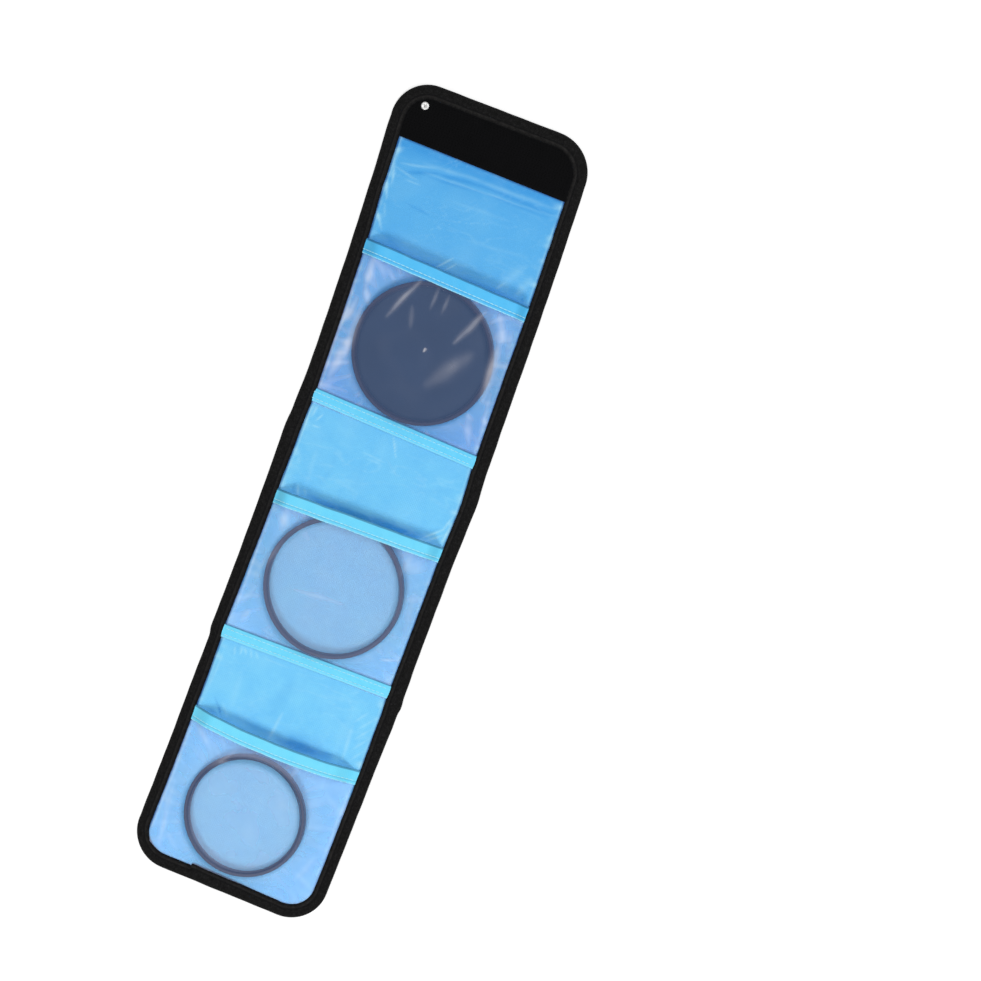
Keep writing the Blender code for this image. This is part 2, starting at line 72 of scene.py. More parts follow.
# How far the real strip's edges lie from its middle line, against the run, both in millimetres
edges = {
    "leftOuter": [
        (0, 57.6), (30, 57.7), (60, 57.1), (110, 56.6), (170, 56.4), (195, 57.2), (206, 58.1), (245, 57.9),
        (290, 57.9), (329, 58.2), (335, 57.3), (360, 57.4), (400, 57.2), (470, 57.4),
    ],
    "leftInner": [
        (0, 49.4), (60, 49.4), (95, 48.3), (150, 48), (180, 47.9), (205, 48.8), (240, 49.4), (300, 50.3),
        (325, 50.9), (337, 50.2), (360, 50), (400, 49.8), (470, 50.2),
    ],
    "rightOuter": [
        (0, 57.8), (110, 57.9), (150, 57.9), (190, 58.2), (211, 59.2), (226, 58.7), (250, 58.1), (300, 58.2),
        (326, 58.7), (333, 59.3), (337, 58.7), (380, 58.3), (470, 58.2),
    ],
    "rightInner": [
        (0, 50.2), (95, 50.2), (150, 49.8), (190, 50), (213, 51.1), (250, 50.1), (310, 50.1), (330, 50.1),
        (342, 50.7), (380, 51.1), (430, 51.3), (470, 51),
    ],
}


def easedValue(table, place):  # a table's value, passing smoothly from each row to the next
    if place <= table[0][0]:
        return table[0][1]
    for (near, low), (far, high) in zip(table, table[1:]):
        if place <= far:
            share = (place - near) / (far - near)
            return low + (high - low) * (1 - math.cos(math.pi * share)) / 2
    return table[-1][1]


def edgeAt(side, rim, run):  # side is -1 for left and 1 for right, rim is "Outer" or "Inner"
    return easedValue(edges[("left" if side < 0 else "right") + rim], run * 1000) / 1000


def clamp(value):
    return min(max(value, 0.0), 1.0)


def ease(share):  # from 1 at 0 smoothly down to 0 at 1
    return (1 + math.cos(math.pi * clamp(share))) / 2


def wave(x, run, size, seed=0.0):  # smooth noise from -1 to 1, the same in each run
    return noise.noise(Vector((x / size, run / size, seed)))


def sway(run):  # the whole strip bows sideways a little, as it does in the photograph
    q = (run - strip["halfLength"]) / strip["halfLength"]
    bow = strip["bow"]
    return bow["shift"] + bow["depth"] * (1 - q * q) - bow["skew"] * q * (1 - q * q)


def spot(x, run, height):
    return Vector((x + sway(run), strip["halfLength"] - run, height))


def newMaterial(look):
    made = bpy.data.materials.new(look["name"])
    made.use_nodes = True
    return made


def setInputs(made, node, values):  # each a plain value, or the socket that it comes from
    for name, value in values.items():
        if isinstance(value, bpy.types.NodeSocket):
            made.node_tree.links.new(value, node.inputs[name])
        else:
            node.inputs[name].default_value = value


def addNode(made, kind, values, **settings):
    node = made.node_tree.nodes.new("ShaderNode" + kind)
    for name, value in settings.items():
        setattr(node, name, value)
    setInputs(made, node, values)
    return node


def setSurface(made, look, values):
    shared = {"Roughness": look["roughness"], "Specular IOR Level": look["gloss"]}
    setInputs(made, made.node_tree.nodes["Principled BSDF"], {**shared, **values})
    return made


def texturePlace(made, kind):
    return addNode(made, "TexCoord", {}).outputs[kind]


def mixColors(made, share, first, second):  # first and second are colors or sockets
    first, second = [(*color, 1) if isinstance(color, tuple) else color for color in (first, second)]
    return addNode(made, "Mix", {0: share, 6: first, 7: second}, data_type="RGBA").outputs[2]


def markValue(made, mark):  # what a mesh carries at each point under this name
    return addNode(made, "Attribute", {}, attribute_name=mark).outputs["Fac"]


def markedColor(made, look, mark, color):  # the color, passing to the look's own for this mark
    return mixColors(made, markValue(made, mark), color, look[mark]) if mark in look else color


def clothMaterial(look):
    made = newMaterial(look)
    place = texturePlace(made, "UV")
    turned = addNode(made, "Mapping", {"Vector": place, "Rotation": (0, 0, math.radians(look["weaveTurn"]))})
    weave = addNode(made, "TexVoronoi", {"Vector": turned.outputs["Vector"], "Scale": 1 / look["weaveSize"],
                                         "Randomness": look["weaveRandom"]}).outputs["Distance"]
    blotch = addNode(made, "TexNoise", {"Vector": place, "Scale": look["blotchScale"], "Detail": 6,
                                        "Roughness": 0.65})
    patch = addNode(made, "MapRange", {"Value": blotch.outputs["Fac"], "From Min": 0.35, "From Max": 0.65})
    thread = addNode(made, "MapRange", {"Value": weave, "From Min": 0.25, "From Max": 0.75,
                                        "To Max": look["weaveShade"]})
    color = mixColors(made, patch.outputs["Result"], look["color"], look["patchColor"])
    color = markedColor(made, look, "paintedShade", color)         # painted shade: deeper blue towards the flap and in the folds
    color = mixColors(made, thread.outputs["Result"], color, look["threadColor"])
    color = markedColor(made, look, "shadeEdge", color)    # painted shade in the folds and along the edges
    color = markedColor(made, look, "creaseLight", color)  # painted light along the creases
    grain = addNode(made, "Bump", {"Strength": look["bump"], "Distance": look["weaveSize"] * 0.3,
                                   "Height": weave}, invert=True)
    return setSurface(made, look, {"Base Color": color, "Normal": grain.outputs["Normal"],
                                   "Sheen Weight": look.get("sheen", 0.0), "Sheen Roughness": 0.4})


# The deeper blue colour of the lining and the tapes is painted shade, towards the flap and in the folds
clothLooks = {
    "lining": {
        "name": "blueLining", "color": (0.205, 0.665, 1.0), "patchColor": (0.165, 0.60, 0.98),
        "paintedShade": (0.042, 0.335, 0.78), "threadColor": (0.09, 0.45, 0.88), "shadeEdge": (0.005, 0.06, 0.30),
        "creaseLight": (0.46, 0.84, 1.0), "weaveShade": 0.3, "weaveSize": 0.0011, "weaveTurn": 45,
        "weaveRandom": 0.05, "blotchScale": 70, "bump": 0.4, "roughness": 0.6, "gloss": 0.3},
    "shell": {
        "name": "blackShell", "color": (0.010, 0.010, 0.011), "patchColor": (0.007, 0.007, 0.008),
        "threadColor": (0.003, 0.003, 0.003), "weaveShade": 0.5, "weaveSize": 0.0008, "weaveTurn": 0,
        "weaveRandom": 0.1, "blotchScale": 60, "bump": 0.5, "roughness": 0.75, "gloss": 0.3},
    "padding": {
        "name": "whiteFoam", "color": (0.6, 0.6, 0.6), "patchColor": (0.5, 0.5, 0.52),
        "threadColor": (0.35, 0.35, 0.36), "weaveShade": 0.4, "weaveSize": 0.0009, "weaveTurn": 0,
        "weaveRandom": 1.0, "blotchScale": 60, "bump": 0.6, "roughness": 0.95, "gloss": 0.2},
    "binding": {
        "name": "blackBinding", "color": (0.0038, 0.0036, 0.0036), "patchColor": (0.0146, 0.0143, 0.0146),
        "threadColor": (0.0015, 0.0015, 0.0015), "shadeEdge": (0.0015, 0.0015, 0.003),
        "creaseLight": (0.045, 0.042, 0.040), "weaveShade": 0.75, "weaveSize": 0.0012, "weaveTurn": 35,
        "weaveRandom": 0.5, "blotchScale": 480, "bump": 0.7, "roughness": 0.8, "gloss": 0.12},
    "tape": {
        "name": "aquaTape", "color": (0.158, 0.715, 1.0), "patchColor": (0.188, 0.755, 1.0),
        "paintedShade": (0.066, 0.49, 0.94), "threadColor": (0.10, 0.58, 0.94), "shadeEdge": (0.01, 0.05, 0.20),
        "creaseLight": (0.34, 0.80, 1.0), "weaveShade": 0.3, "weaveSize": 0.0009, "weaveTurn": 45,
        "weaveRandom": 0.05, "blotchScale": 120, "bump": 0.4, "roughness": 0.6, "gloss": 0.3},
    "hook": {
        "name": "blackHooks", "color": (0.0030, 0.0031, 0.0036), "patchColor": (0.0038, 0.0038, 0.0044),
        "threadColor": (0.002, 0.002, 0.002), "weaveShade": 0.4, "weaveSize": 0.0012, "weaveTurn": 0,
        "weaveRandom": 0.1, "blotchScale": 60, "bump": 0.3, "roughness": 0.9, "gloss": 0.08},
    "loop": {
        "name": "blackLoops", "color": (0.012, 0.012, 0.013), "patchColor": (0.018, 0.018, 0.019),
        "threadColor": (0.004, 0.004, 0.004), "weaveShade": 0.8, "weaveSize": 0.0006, "weaveTurn": 0,
        "weaveRandom": 1.0, "blotchScale": 60, "bump": 1.0, "roughness": 1.0, "sheen": 0.3, "gloss": 0.15},
}
finishes = {finish: clothMaterial(look) for finish, look in clothLooks.items()}


def plainMaterial(look):
    made = newMaterial(look)
    speck = addNode(made, "TexNoise", {"Vector": texturePlace(made, "Object"), "Scale": look["speckScale"],
                                       "Detail": 4}).outputs["Fac"]
    grain = addNode(made, "Bump", {"Strength": look["bump"], "Distance": 0.0002, "Height": speck})
    color = mixColors(made, speck, look["color"], look["speckColor"])
    return setSurface(made, look, {"Base Color": color, "Normal": grain.outputs["Normal"],
                                   "Metallic": look["metal"]})


plainLooks = {
    "ring": {
        "name": "blackRing", "color": (0.026, 0.008, 0.009), "speckColor": (0.034, 0.012, 0.013),
        "metal": 0.0, "roughness": 0.38, "gloss": 0.45, "speckScale": 900, "bump": 0.1},
    "eyelet": {
        "name": "nickelEyelet", "color": (0.93, 0.93, 0.92), "speckColor": (0.85, 0.85, 0.84),
        "metal": 0.35, "roughness": 0.3, "gloss": 0.5, "speckScale": 1500, "bump": 0.08},
    "stitch": {
        "name": "paleThread", "color": (0.42, 0.84, 1.0), "speckColor": (0.52, 0.90, 1.0),
        "metal": 0.0, "roughness": 0.6, "gloss": 0.3, "speckScale": 3000, "bump": 0.4},
    "blackStitch": {
        "name": "blackThread", "color": (0.006, 0.006, 0.006), "speckColor": (0.010, 0.010, 0.010),
        "metal": 0.0, "roughness": 0.8, "gloss": 0.1, "speckScale": 3000, "bump": 0.4},
}
finishes.update({finish: plainMaterial(look) for finish, look in plainLooks.items()})


def filmMaterial(look):  # soft milky film: it lets the lining show, with painted light where lit cloth lies under it and painted highlights along its creases
    made = newMaterial(look)
    cloud = addNode(made, "TexNoise", {"Vector": texturePlace(made, "UV"), "Scale": look["cloudScale"], "Detail": 4})
    haze = addNode(made, "MapRange", {"Value": cloud.outputs["Fac"], "From Min": 0.3, "From Max": 0.7,
                                      "To Min": look["alpha"] * 0.96, "To Max": look["alpha"] * 1.06})
    color = markedColor(made, look, "lightFromBelow", look["color"])  # painted light: paler where lit blue cloth lies under the film
    color = markedColor(made, look, "creaseLight", color)
    streaked = addNode(made, "Math", {0: markValue(made, "creaseLight"), 1: look["streakAlpha"],
                                      2: haze.outputs["Result"]}, operation="MULTIPLY_ADD")
    keep = addNode(made, "MapRange", {"Value": markValue(made, "clearPart"), "To Min": 1.0, "To Max": 0.04})
    alpha = addNode(made, "Math", {0: streaked.outputs["Value"], 1: keep.outputs["Result"]}, operation="MULTIPLY")
    return setSurface(made, look, {"Base Color": color, "Alpha": alpha.outputs["Value"]})


finishes["film"] = filmMaterial({
    "name": "milkyFilm", "color": (0.108, 0.195, 0.405), "lightFromBelow": (0.45, 0.57, 0.91), "creaseLight": (0.95, 0.93, 1.0),
    "roughness": 0.3, "gloss": 0.15, "cloudScale": 40, "alpha": 0.33, "streakAlpha": 0.24})


def glassMaterial(look):
    made = newMaterial(look)
    haze = addNode(made, "TexNoise", {"Vector": texturePlace(made, "Object"), "Scale": 30, "Detail": 3})
    alpha = addNode(made, "MapRange", {"Value": haze.outputs["Fac"], "To Min": look["alpha"] - look["haze"],
                                       "To Max": look["alpha"] + look["haze"]})
    return setSurface(made, look, {"Base Color": (*look["color"], 1), "Alpha": alpha.outputs["Result"]})


finishes["darkGlass"] = glassMaterial({
    "name": "darkGlass", "color": (0.004, 0.006, 0.010), "roughness": 0.08, "gloss": 0.12, "alpha": 0.985,
    "haze": 0.01})
finishes["clearGlass"] = glassMaterial({
    "name": "clearGlass", "color": (0.60, 0.72, 0.86), "roughness": 0.05, "gloss": 0.3, "alpha": 0.06, "haze": 0.015})
print("materials ready")


def activate(piece):
    bpy.ops.object.select_all(action="DESELECT")
    piece.select_set(True)
    bpy.context.view_layer.objects.active = piece


def applyModifiers(piece):
    activate(piece)
    for modifier in list(piece.modifiers):
        bpy.ops.object.modifier_apply(modifier=modifier.name)


def finishPiece(piece, name, finish, slotName, angle=40):
    piece.name = name
    piece.data.name = name
    piece.data.materials.clear()
    piece.data.materials.append(finishes[finish])
    activate(piece)
    bpy.ops.object.shade_smooth_by_angle(angle=math.radians(angle))
    return piece


def sheetGrid(columns, rows, place, size, thickness, marks=None):
    # columns by rows cells, each corner put where place(u, v) says; size is the flat sheet's
    bpy.ops.mesh.primitive_grid_add(x_subdivisions=columns, y_subdivisions=rows, size=1, calc_uvs=True)
    piece = bpy.context.object
    for name, value in (marks or {}).items():
        mark = piece.data.attributes.new(name, "FLOAT", "POINT")
        for corner in piece.data.vertices:
            mark.data[corner.index].value = value(corner.co.x + 0.5, corner.co.y + 0.5)
    for corner in piece.data.vertices:
        corner.co = place(corner.co.x + 0.5, corner.co.y + 0.5)
    for point in piece.data.uv_layers.active.data:
        point.uv = (point.uv[0] * size[0], point.uv[1] * size[1])
    wall = piece.modifiers.new("wall", "SOLIDIFY")
    wall.thickness = thickness
    wall.offset = 0.0
    applyModifiers(piece)
    return piece


def joinPieces(pieces):
    bpy.ops.object.select_all(action="DESELECT")
    for piece in pieces:
        piece.select_set(True)
    bpy.context.view_layer.objects.active = pieces[0]
    if len(pieces) > 1:
        bpy.ops.object.join()
    return pieces[0]


def copyPiece(piece, place):  # a copy of its own, with each corner put where place(corner) says
    copy = piece.copy()
    copy.data = piece.data.copy()
    bpy.context.collection.objects.link(copy)
    for corner in copy.data.vertices:
        corner.co = place(corner.co)
    return copy


def faceOutward():  # the piece in edit mode, and out of that mode again
    bpy.ops.mesh.select_all(action="SELECT")
    bpy.ops.mesh.normals_make_consistent(inside=False)
    bpy.ops.object.mode_set(mode="OBJECT")


def bendOverFold(piece, span):
    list(span["bodies"])
    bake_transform(piece)


def oneStitch(size):  # along X, at the origin
    bpy.ops.mesh.primitive_uv_sphere_add(segments=8, ring_count=6, radius=0.5, rotation=(0, math.pi / 2, 0))
    stitch = bpy.context.object
    bpy.ops.object.transform_apply(location=False, rotation=True, scale=False)
    for corner in stitch.data.vertices:
        corner.co = corner.co * Vector(size)
    return stitch


def stitchRow(points, look):  # stitches set end to end along a line of (place, normal) points
    one = oneStitch(look["size"])
    made = []
    total = 0.0
    nextAt = look["pitch"] / 2
    for (near, normal), (far, after) in zip(points, points[1:]):
        step = (far - near).length
        while nextAt <= total + step and step > 0:
            share = (nextAt - total) / step
            along = (far - near).normalized()
            up = normal.lerp(after, share).normalized()
            side = up.cross(along).normalized()
            up = along.cross(side)
            place = near.lerp(far, share) + up * look.get("lift", 0.0)
            made.append(copyPiece(one, lambda at: place + along * at.x + side * at.y + up * at.z))
            nextAt += look["pitch"]
        total += step
    bpy.data.objects.remove(one, do_unlink=True)
    return joinPieces(made)


def joinStitches(rows, name, finish, slotName):
    return finishPiece(joinPieces(rows), name + "Stitches", finish, slotName, 80)


def sheetHalf(run, inset):  # half the sheet's width: it follows the round corners
    side = strip["halfWidth"] - inset
    radius = strip["corner"] - inset
    near = min(run, 2 * strip["halfLength"] - run)
    if near >= strip["corner"]:
        return side
    return side - radius + math.sqrt(max(radius ** 2 - (strip["corner"] - near) ** 2, 0))


def spanRun(span, v, inset):
    low = max(span["start"], inset + 0.0001)
    high = min(span["end"], 2 * strip["halfLength"] - inset - 0.0001)
    return high + (low - high) * v


def sheetSpot(span, inset, value):  # value(across, run) at each (u, v) of the span's sheet
    def found(u, v):
        run = spanRun(span, v, inset)
        across = (2 * u - 1) * sheetHalf(run, inset)
        return value(across, run)
    return found


def sheetPlace(span, inset, height):
    return sheetSpot(span, inset, lambda across, run: spot(across, run, height(across, run)))


lining = {"puff": 0.00028, "edge": 0.050, "covered": ((0.0, 0.036), (0.096, 0.191), (0.242, 0.332), (0.377, 0.470))}
# How deep the lining's painted shade is, by millimetres of run: deepest towards the flap
paintedShadeTable = [
    (34, 1), (46, 0.72), (60, 0.62), (100, 0.58), (150, 0.6), (176, 0.85), (184, 0.85), (190, 0.18), (200, 0.14),
    (240, 0.1), (330, 0.0),
]

# Folds in the lining, in millimetres: from (x, run) to (x, run), half width, how pale (painted light), how dark
# (painted shade), how high
liningStrokes = [
    (-32, 42.5, 0, 40.6, 1.1, 0.2, 0, 0.2), (-6, 40.6, 48, 40.2, 1.1, 0.2, 0, 0.2),
    (-49, 36, 40, 37.2, 1.6, 0, 0.1, 0), (-41, 50.5, -22, 45.2, 1.1, 0, 0.17, -0.2),
    (-24, 45.4, 6, 42.7, 1.1, 0, 0.19, -0.2), (2, 42.7, 46, 43.4, 1.1, 0, 0.19, -0.2),
    (-44, 47, -24, 42.8, 0.7, 0.35, 0, 0.15), (-26, 48.8, 4, 46.3, 0.9, 0, 0.14, -0.15),
    (0, 46.4, 44, 45.6, 0.9, 0, 0.12, -0.1), (-30, 47.2, 40, 44.6, 0.6, 0.22, 0, 0.1),
    (-46, 50, -31, 52.4, 0.6, 0.3, 0, 0.1), (-39, 53.8, -29, 54.2, 0.5, 0.32, 0, 0.1),
    (-34, 66.8, -19, 68.3, 0.8, 0, 0.14, -0.1), (-12, 56.6, 24, 55.6, 1, 0.1, 0, 0.1),
    (6, 74, 40, 70.6, 1.2, 0.1, 0, 0.1), (-48, 58.6, -45, 68.5, 0.7, 0.55, 0, 0.15),
    (-49, 75, -42.3, 85.5, 0.7, 0.55, 0, 0.2), (-46.2, 52, -44.8, 60, 0.7, 0.35, 0, 0.1),
    (-48.6, 44, -45.5, 56, 1.1, 0.35, 0, 0.1), (-46, 70, -43, 78, 0.5, 0.25, 0, 0.1),
    (-47.5, 36, -46.6, 46, 0.8, 0.22, 0, 0.1), (0.8, 85.5, -7.6, 94.5, 0.45, 0.6, 0, 0.15),
    (3.4, 87.6, -2, 93.8, 0.45, 0.5, 0, 0.1), (-3.4, 90.2, -10, 94.4, 0.8, 0, 0.12, -0.1),
    (40, 76, 30, 92, 3, 0.22, 0, 0.1), (46, 80, 41, 92.5, 2.2, 0.26, 0, 0.15),
    (33, 88, 29, 93.5, 0.6, 0.28, 0, 0.1), (-42, 86.5, -30, 91.8, 1.5, 0, 0.1, 0),
    (44.5, 92.5, 46, 95.5, 0.6, 0, 0.4, -0.1), (8, 93.6, 44, 94.6, 0.9, 0, 0.14, 0),
    (2.2, 190.3, 5.8, 199.8, 0.42, 0.75, 0, 0.2), (3.6, 191, 6.6, 198.6, 0.5, 0.2, 0, 0),
    (5.4, 199, 7.3, 202.2, 0.4, 0.45, 0, 0.1), (1.4, 204, 11.5, 211.6, 0.45, 0.22, 0.08, 0),
    (-12, 205.4, 2, 206.6, 0.5, 0.28, 0, 0.1), (-9, 208.4, 0, 208, 0.5, 0.2, 0, 0.1),
    (-44, 190.6, -45.4, 198.2, 0.7, 0.45, 0, 0.15), (-39.4, 193.4, -42.2, 198.8, 0.5, 0.55, 0, 0.15),
    (-38.2, 200.8, -43.8, 201.9, 0.5, 0.5, 0, 0.15), (-46.8, 192, -47.6, 212, 0.7, 0.3, 0, 0.1),
    (-36, 214, -35, 234, 1.6, 0.14, 0, 0.1), (-24, 212, -27, 232, 1.6, 0, 0.06, 0),
    (48.6, 220, 45.6, 229.5, 0.6, 0.55, 0, 0.2), (46.4, 228.6, 36.6, 238.6, 0.6, 0.65, 0, 0.3),
    (48.2, 231, 39, 239.4, 0.6, 0.5, 0, 0.3), (43.8, 229.8, 35, 236.6, 1, 0, 0.12, -0.2),
    (49.4, 225.4, 47.6, 236.6, 0.7, 0.55, 0, 0.2), (42, 238.2, 34, 240.4, 0.6, 0.5, 0, 0.2),
    (-39.4, 236, -37.4, 242.2, 0.7, 0.65, 0, 0.3), (-41.6, 236, -41, 241.6, 0.8, 0, 0.24, -0.2),
    (-35.4, 236.6, -33, 240.6, 0.7, 0.3, 0, 0.15), (-32, 240, 4, 239.4, 2.2, 0, 0.55, -0.1),
    (-2, 239.2, 38, 237.8, 2.3, 0, 0.6, -0.1), (-26, 241.4, 34, 239.8, 1.4, 0, 0.5, -0.1),
    (22, 216, 44, 206.4, 1.4, 0, 0.06, 0), (30, 208.4, 48, 199.6, 1, 0.1, 0, 0.1),
    (-22, 224, -6, 229, 1.2, 0.08, 0, 0.1), (-37.6, 333.6, -36.4, 338.4, 0.5, 0.6, 0, 0.15),
    (-36, 334, -33.2, 337.4, 0.5, 0.55, 0, 0.15), (-32.4, 333.4, -29.8, 338.2, 0.5, 0.55, 0, 0.15),
    (-29, 333.8, -26, 336.8, 0.5, 0.4, 0, 0.1), (-41.4, 334.4, -39.2, 340, 0.5, 0.4, 0, 0.1),
    (-24, 334.6, -8, 335.4, 0.5, 0.22, 0, 0.1), (-3, 339, -9, 366, 3.6, 0, 0.09, -0.15),
    (0, 373.5, 24, 370.5, 4.8, 0, 0.3, -0.1), (-26, 372.5, 2, 374.5, 3.2, 0, 0.3, -0.1),
    (0, 376.2, 32, 374, 2.6, 0, 0.6, -0.1), (-2.2, 360, -4.4, 377.6, 1, 0.42, 0, 0.25),
    (-41.8, 366.4, -33.8, 375.8, 0.5, 0, 0.42, -0.25), (-37.8, 369, -35.6, 374, 0.4, 0, 0.34, -0.15),
    (-43, 374, -36.6, 375.4, 0.9, 0, 0.34, -0.1), (-36.6, 367.4, -30.6, 374.8, 0.8, 0.26, 0, 0.2),
    (-32, 345, -31, 372, 2, 0.12, 0, 0.15), (24, 373, 36, 371.8, 0.6, 0, 0.24, -0.1),
    (36, 373.6, 44, 372.6, 0.6, 0, 0.2, -0.1), (37.4, 352, 38.6, 372, 1.2, 0.34, 0, 0.2),
    (43, 342, 37, 350, 0.7, 0.3, 0, 0.15), (48.2, 344, 41, 353, 0.7, 0.32, 0, 0.15),
    (48.4, 350, 41.2, 359.4, 0.7, 0.32, 0, 0.15), (48.6, 356.6, 42, 365, 0.7, 0.32, 0, 0.15),
    (48.8, 363, 43.2, 370.6, 0.7, 0.3, 0, 0.15), (34.6, 340, 33.4, 374, 2.6, 0.12, 0, 0.1),
    (12, 344, 36, 338.4, 1, 0.1, 0, 0.1), (-46, 340, -47.4, 368, 0.8, 0.28, 0, 0.1),
    (14, 352, 30, 347.6, 1.2, 0, 0.05, 0),
]
strokeParts = {"pale": 5, "dark": 6, "high": 7}


def strokeShare(stroke, x, run):  # how near (x, run) is to a stroke's line, from 0 to 1, fading at its ends
    nearX, nearS, farX, farS, width = stroke[:5]
    reach = 2.4 * width + 1.2
    mmX, mmS = x * 1000, run * 1000
    if not min(nearX, farX) - reach < mmX < max(nearX, farX) + reach:
        return 0.0
    if not min(nearS, farS) - reach < mmS < max(nearS, farS) + reach:
        return 0.0
    mmX += 0.8 * wave(x, run, 0.014, 45.0)
    mmS += 0.8 * wave(x, run, 0.014, 47.0)
    alongX, alongS = farX - nearX, farS - nearS
    share = ((mmX - nearX) * alongX + (mmS - nearS) * alongS) / (alongX ** 2 + alongS ** 2)
    held = clamp(share)
    taper = math.sin(math.pi * clamp(0.12 + 0.76 * share))
    away = math.hypot(mmX - nearX - alongX * held, mmS - nearS - alongS * held) / (width * (0.4 + 0.6 * taper))
    if away > 2.4:
        return 0.0
    return math.exp(-away * away) * taper * (0.9 + 0.3 * wave(x, run, 0.006, 46.0))


def strokeSum(strokes, part, x, run, unit=1):
    column = strokeParts[part]
    return sum(stroke[column] / unit * strokeShare(stroke, x, run) for stroke in strokes if stroke[column])


def crinkle(x, run, size, seed):  # thin crooked lines, as where cloth was creased
    bent = wave(x, run, size, seed) + 0.35 * wave(x, run, size * 0.4, seed + 1)
    line = max(1 - abs(bent) / 0.09, 0.0)
    return line * max(wave(x, run, size * 2.5, seed + 2) + 0.2, 0.0)


def bell(value, middle, width):
    gap = (value - middle) / width
    return math.exp(-gap * gap)


def liningPaintedShade(across, run):  # painted shade: deeper blue towards the flap and in the folds
    return min(easedValue(paintedShadeTable, run * 1000) + 1.8 * strokeSum(liningStrokes, "dark", across, run), 1.0)


def liningHeight(across, run):
    covered = any(low <= run <= high for low, high in lining["covered"])
    puff = lining["puff"]
    height = wave(across, run, 0.022, 1.0) * puff + wave(across, run, 0.008, 2.0) * puff * 0.35
    height += wave(across - run, run + across, 0.0035, 3.0) * puff * 0.12
    if not covered:
        height += strokeSum(liningStrokes, "high", across, run, unit=1000)
    edge = 1 - abs(across) / lining["edge"]
    if edge > 0:
        height += 0.00025 * math.exp(-edge * edge / 0.004) * wave(across * 0.3, run, 0.005, 9.0)
    return heights["lining"] + height * (0.25 if covered else 1.0)


def liningEdgeShade(across, run):  # painted shade: navy along the binding and below the hook patch, blue in the folds
    gap = max(edgeAt(across, "Inner", run) - abs(across) - 0.0004, 0.0)
    patchEdge = 0.0340 + 0.0007 * across / 0.05
    total = 0.95 * bell(gap, 0.0, 0.0006) + 0.8 * bell(run, patchEdge, 0.0006)
    return min(total + 0.06 * strokeSum(liningStrokes, "dark", across, run), 0.9)


def liningCreaseLight(across, run):  # painted light on the tops of the folds, and pale flecks near the edges
    gap = edgeAt(across, "Inner", run) - abs(across)
    total = strokeSum(liningStrokes, "pale", across, run)
    total += 0.6 * max(wave(across * 0.6 + run * 0.3, run, 0.0045, 15.0), 0.0) * bell(gap, 0.0020, 0.0022)
    total += 0.35 * bell(gap, 0.0017, 0.0005) * max(0.6 + wave(across, run, 0.007, 18.0), 0.0)
    total += 0.26 * crinkle(across * 0.5, run * 1.5, 0.011, 90.0)
    total += 0.16 * crinkle(across + run, run - across * 0.4, 0.007, 94.0)
    total += 0.10 * max(wave(across, run, 0.016, 19.0), 0.0)
    return min(total, 0.85)


def shellHeight(across, run):
    return heights["shell"] + 0.00012 * wave(across, run, 0.02, 11.0)


def foamHeight(across, run):
    return heights["padding"] + 0.0001 * wave(across, run, 0.012, 13.0)


eyelet = {"x": -0.0404, "run": 0.0125, "bottom": 0.0052, "flange": 0.0022, "barrel": 0.0014, "bore": 0.0007}


def pierce(piece):  # the eyelet's hole through one layer of the flap
    bpy.ops.mesh.primitive_cylinder_add(vertices=48, radius=eyelet["barrel"] - 0.0001, depth=0.02,
                                        location=spot(eyelet["x"], eyelet["run"], 0.003))
    punch = bpy.context.object
    cut = piece.modifiers.new("eyeletHole", "BOOLEAN")
    cut.operation = "DIFFERENCE"
    cut.solver = "EXACT"
    cut.object = punch
    applyModifiers(piece)
    bpy.data.objects.remove(punch, do_unlink=True)


layers = [
    {"name": "Lining", "node": "_lining", "finish": "lining", "slot": "lining_fabric", "angle": 80, "width": 0.1116,
     "inset": strip["inset"], "columns": 140, "cell": 0.0008, "thick": 0.0003, "height": liningHeight,
     "marks": {"shadeEdge": liningEdgeShade, "creaseLight": liningCreaseLight, "paintedShade": liningPaintedShade}},
    {"name": "Shell", "node": "_shell", "finish": "shell", "slot": "outer_fabric", "angle": 80, "width": 0.1116,
     "inset": strip["inset"], "columns": 44, "cell": 0.0015, "thick": 0.0004, "height": shellHeight, "marks": {}},
    {"name": "Padding", "node": "_padding", "finish": "padding", "slot": "padding_foam", "angle": 60,
     "width": 0.1108, "inset": 0.0026, "columns": 36, "cell": 0.0025, "thick": 0.0014, "height": foamHeight,
     "marks": {}},
]


def makeLayer(span, layer):
    length = span["end"] - span["start"]
    marks = {name: sheetSpot(span, layer["inset"], value) for name, value in layer["marks"].items()}
    piece = sheetGrid(layer["columns"], round(length / layer["cell"]),
                      sheetPlace(span, layer["inset"], layer["height"]), (layer["width"], length), layer["thick"],
                      marks)
    if span["name"] == "flapEnd":
        pierce(piece)
    finishPiece(piece, span["name"] + layer["name"], layer["finish"], layer["slot"], layer["angle"])
    bendOverFold(piece, span)
    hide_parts(*[segment + layer["node"] for segment in span["segments"]])


for span in strip["spans"]:
    for layer in layers:
        makeLayer(span, layer)
print("shell, padding and lining made")


binding = {"step": 0.0015, "cornerSteps": 18, "thick": 0.0006, "bulge": 0.0024, "seamIn": 0.0025, "endWidth": 0.0079,
           "unfolded": 0.0235, "lapAt": -0.0215, "lapStep": 0.0014, "lapLength": 0.065,
           "lightColumn": 19, "shadeColumns": {18: 0.8, 21: 0.5, 22: 0.8, 23: 0.9},
           "stitches": {"size": (0.0023, 0.00045, 0.0004), "pitch": 0.0030},
           "looseThread": {"size": (0.0044, 0.00035, 0.0003), "pitch": 0.0039, "from": 0.4648, "to": 0.4688}}


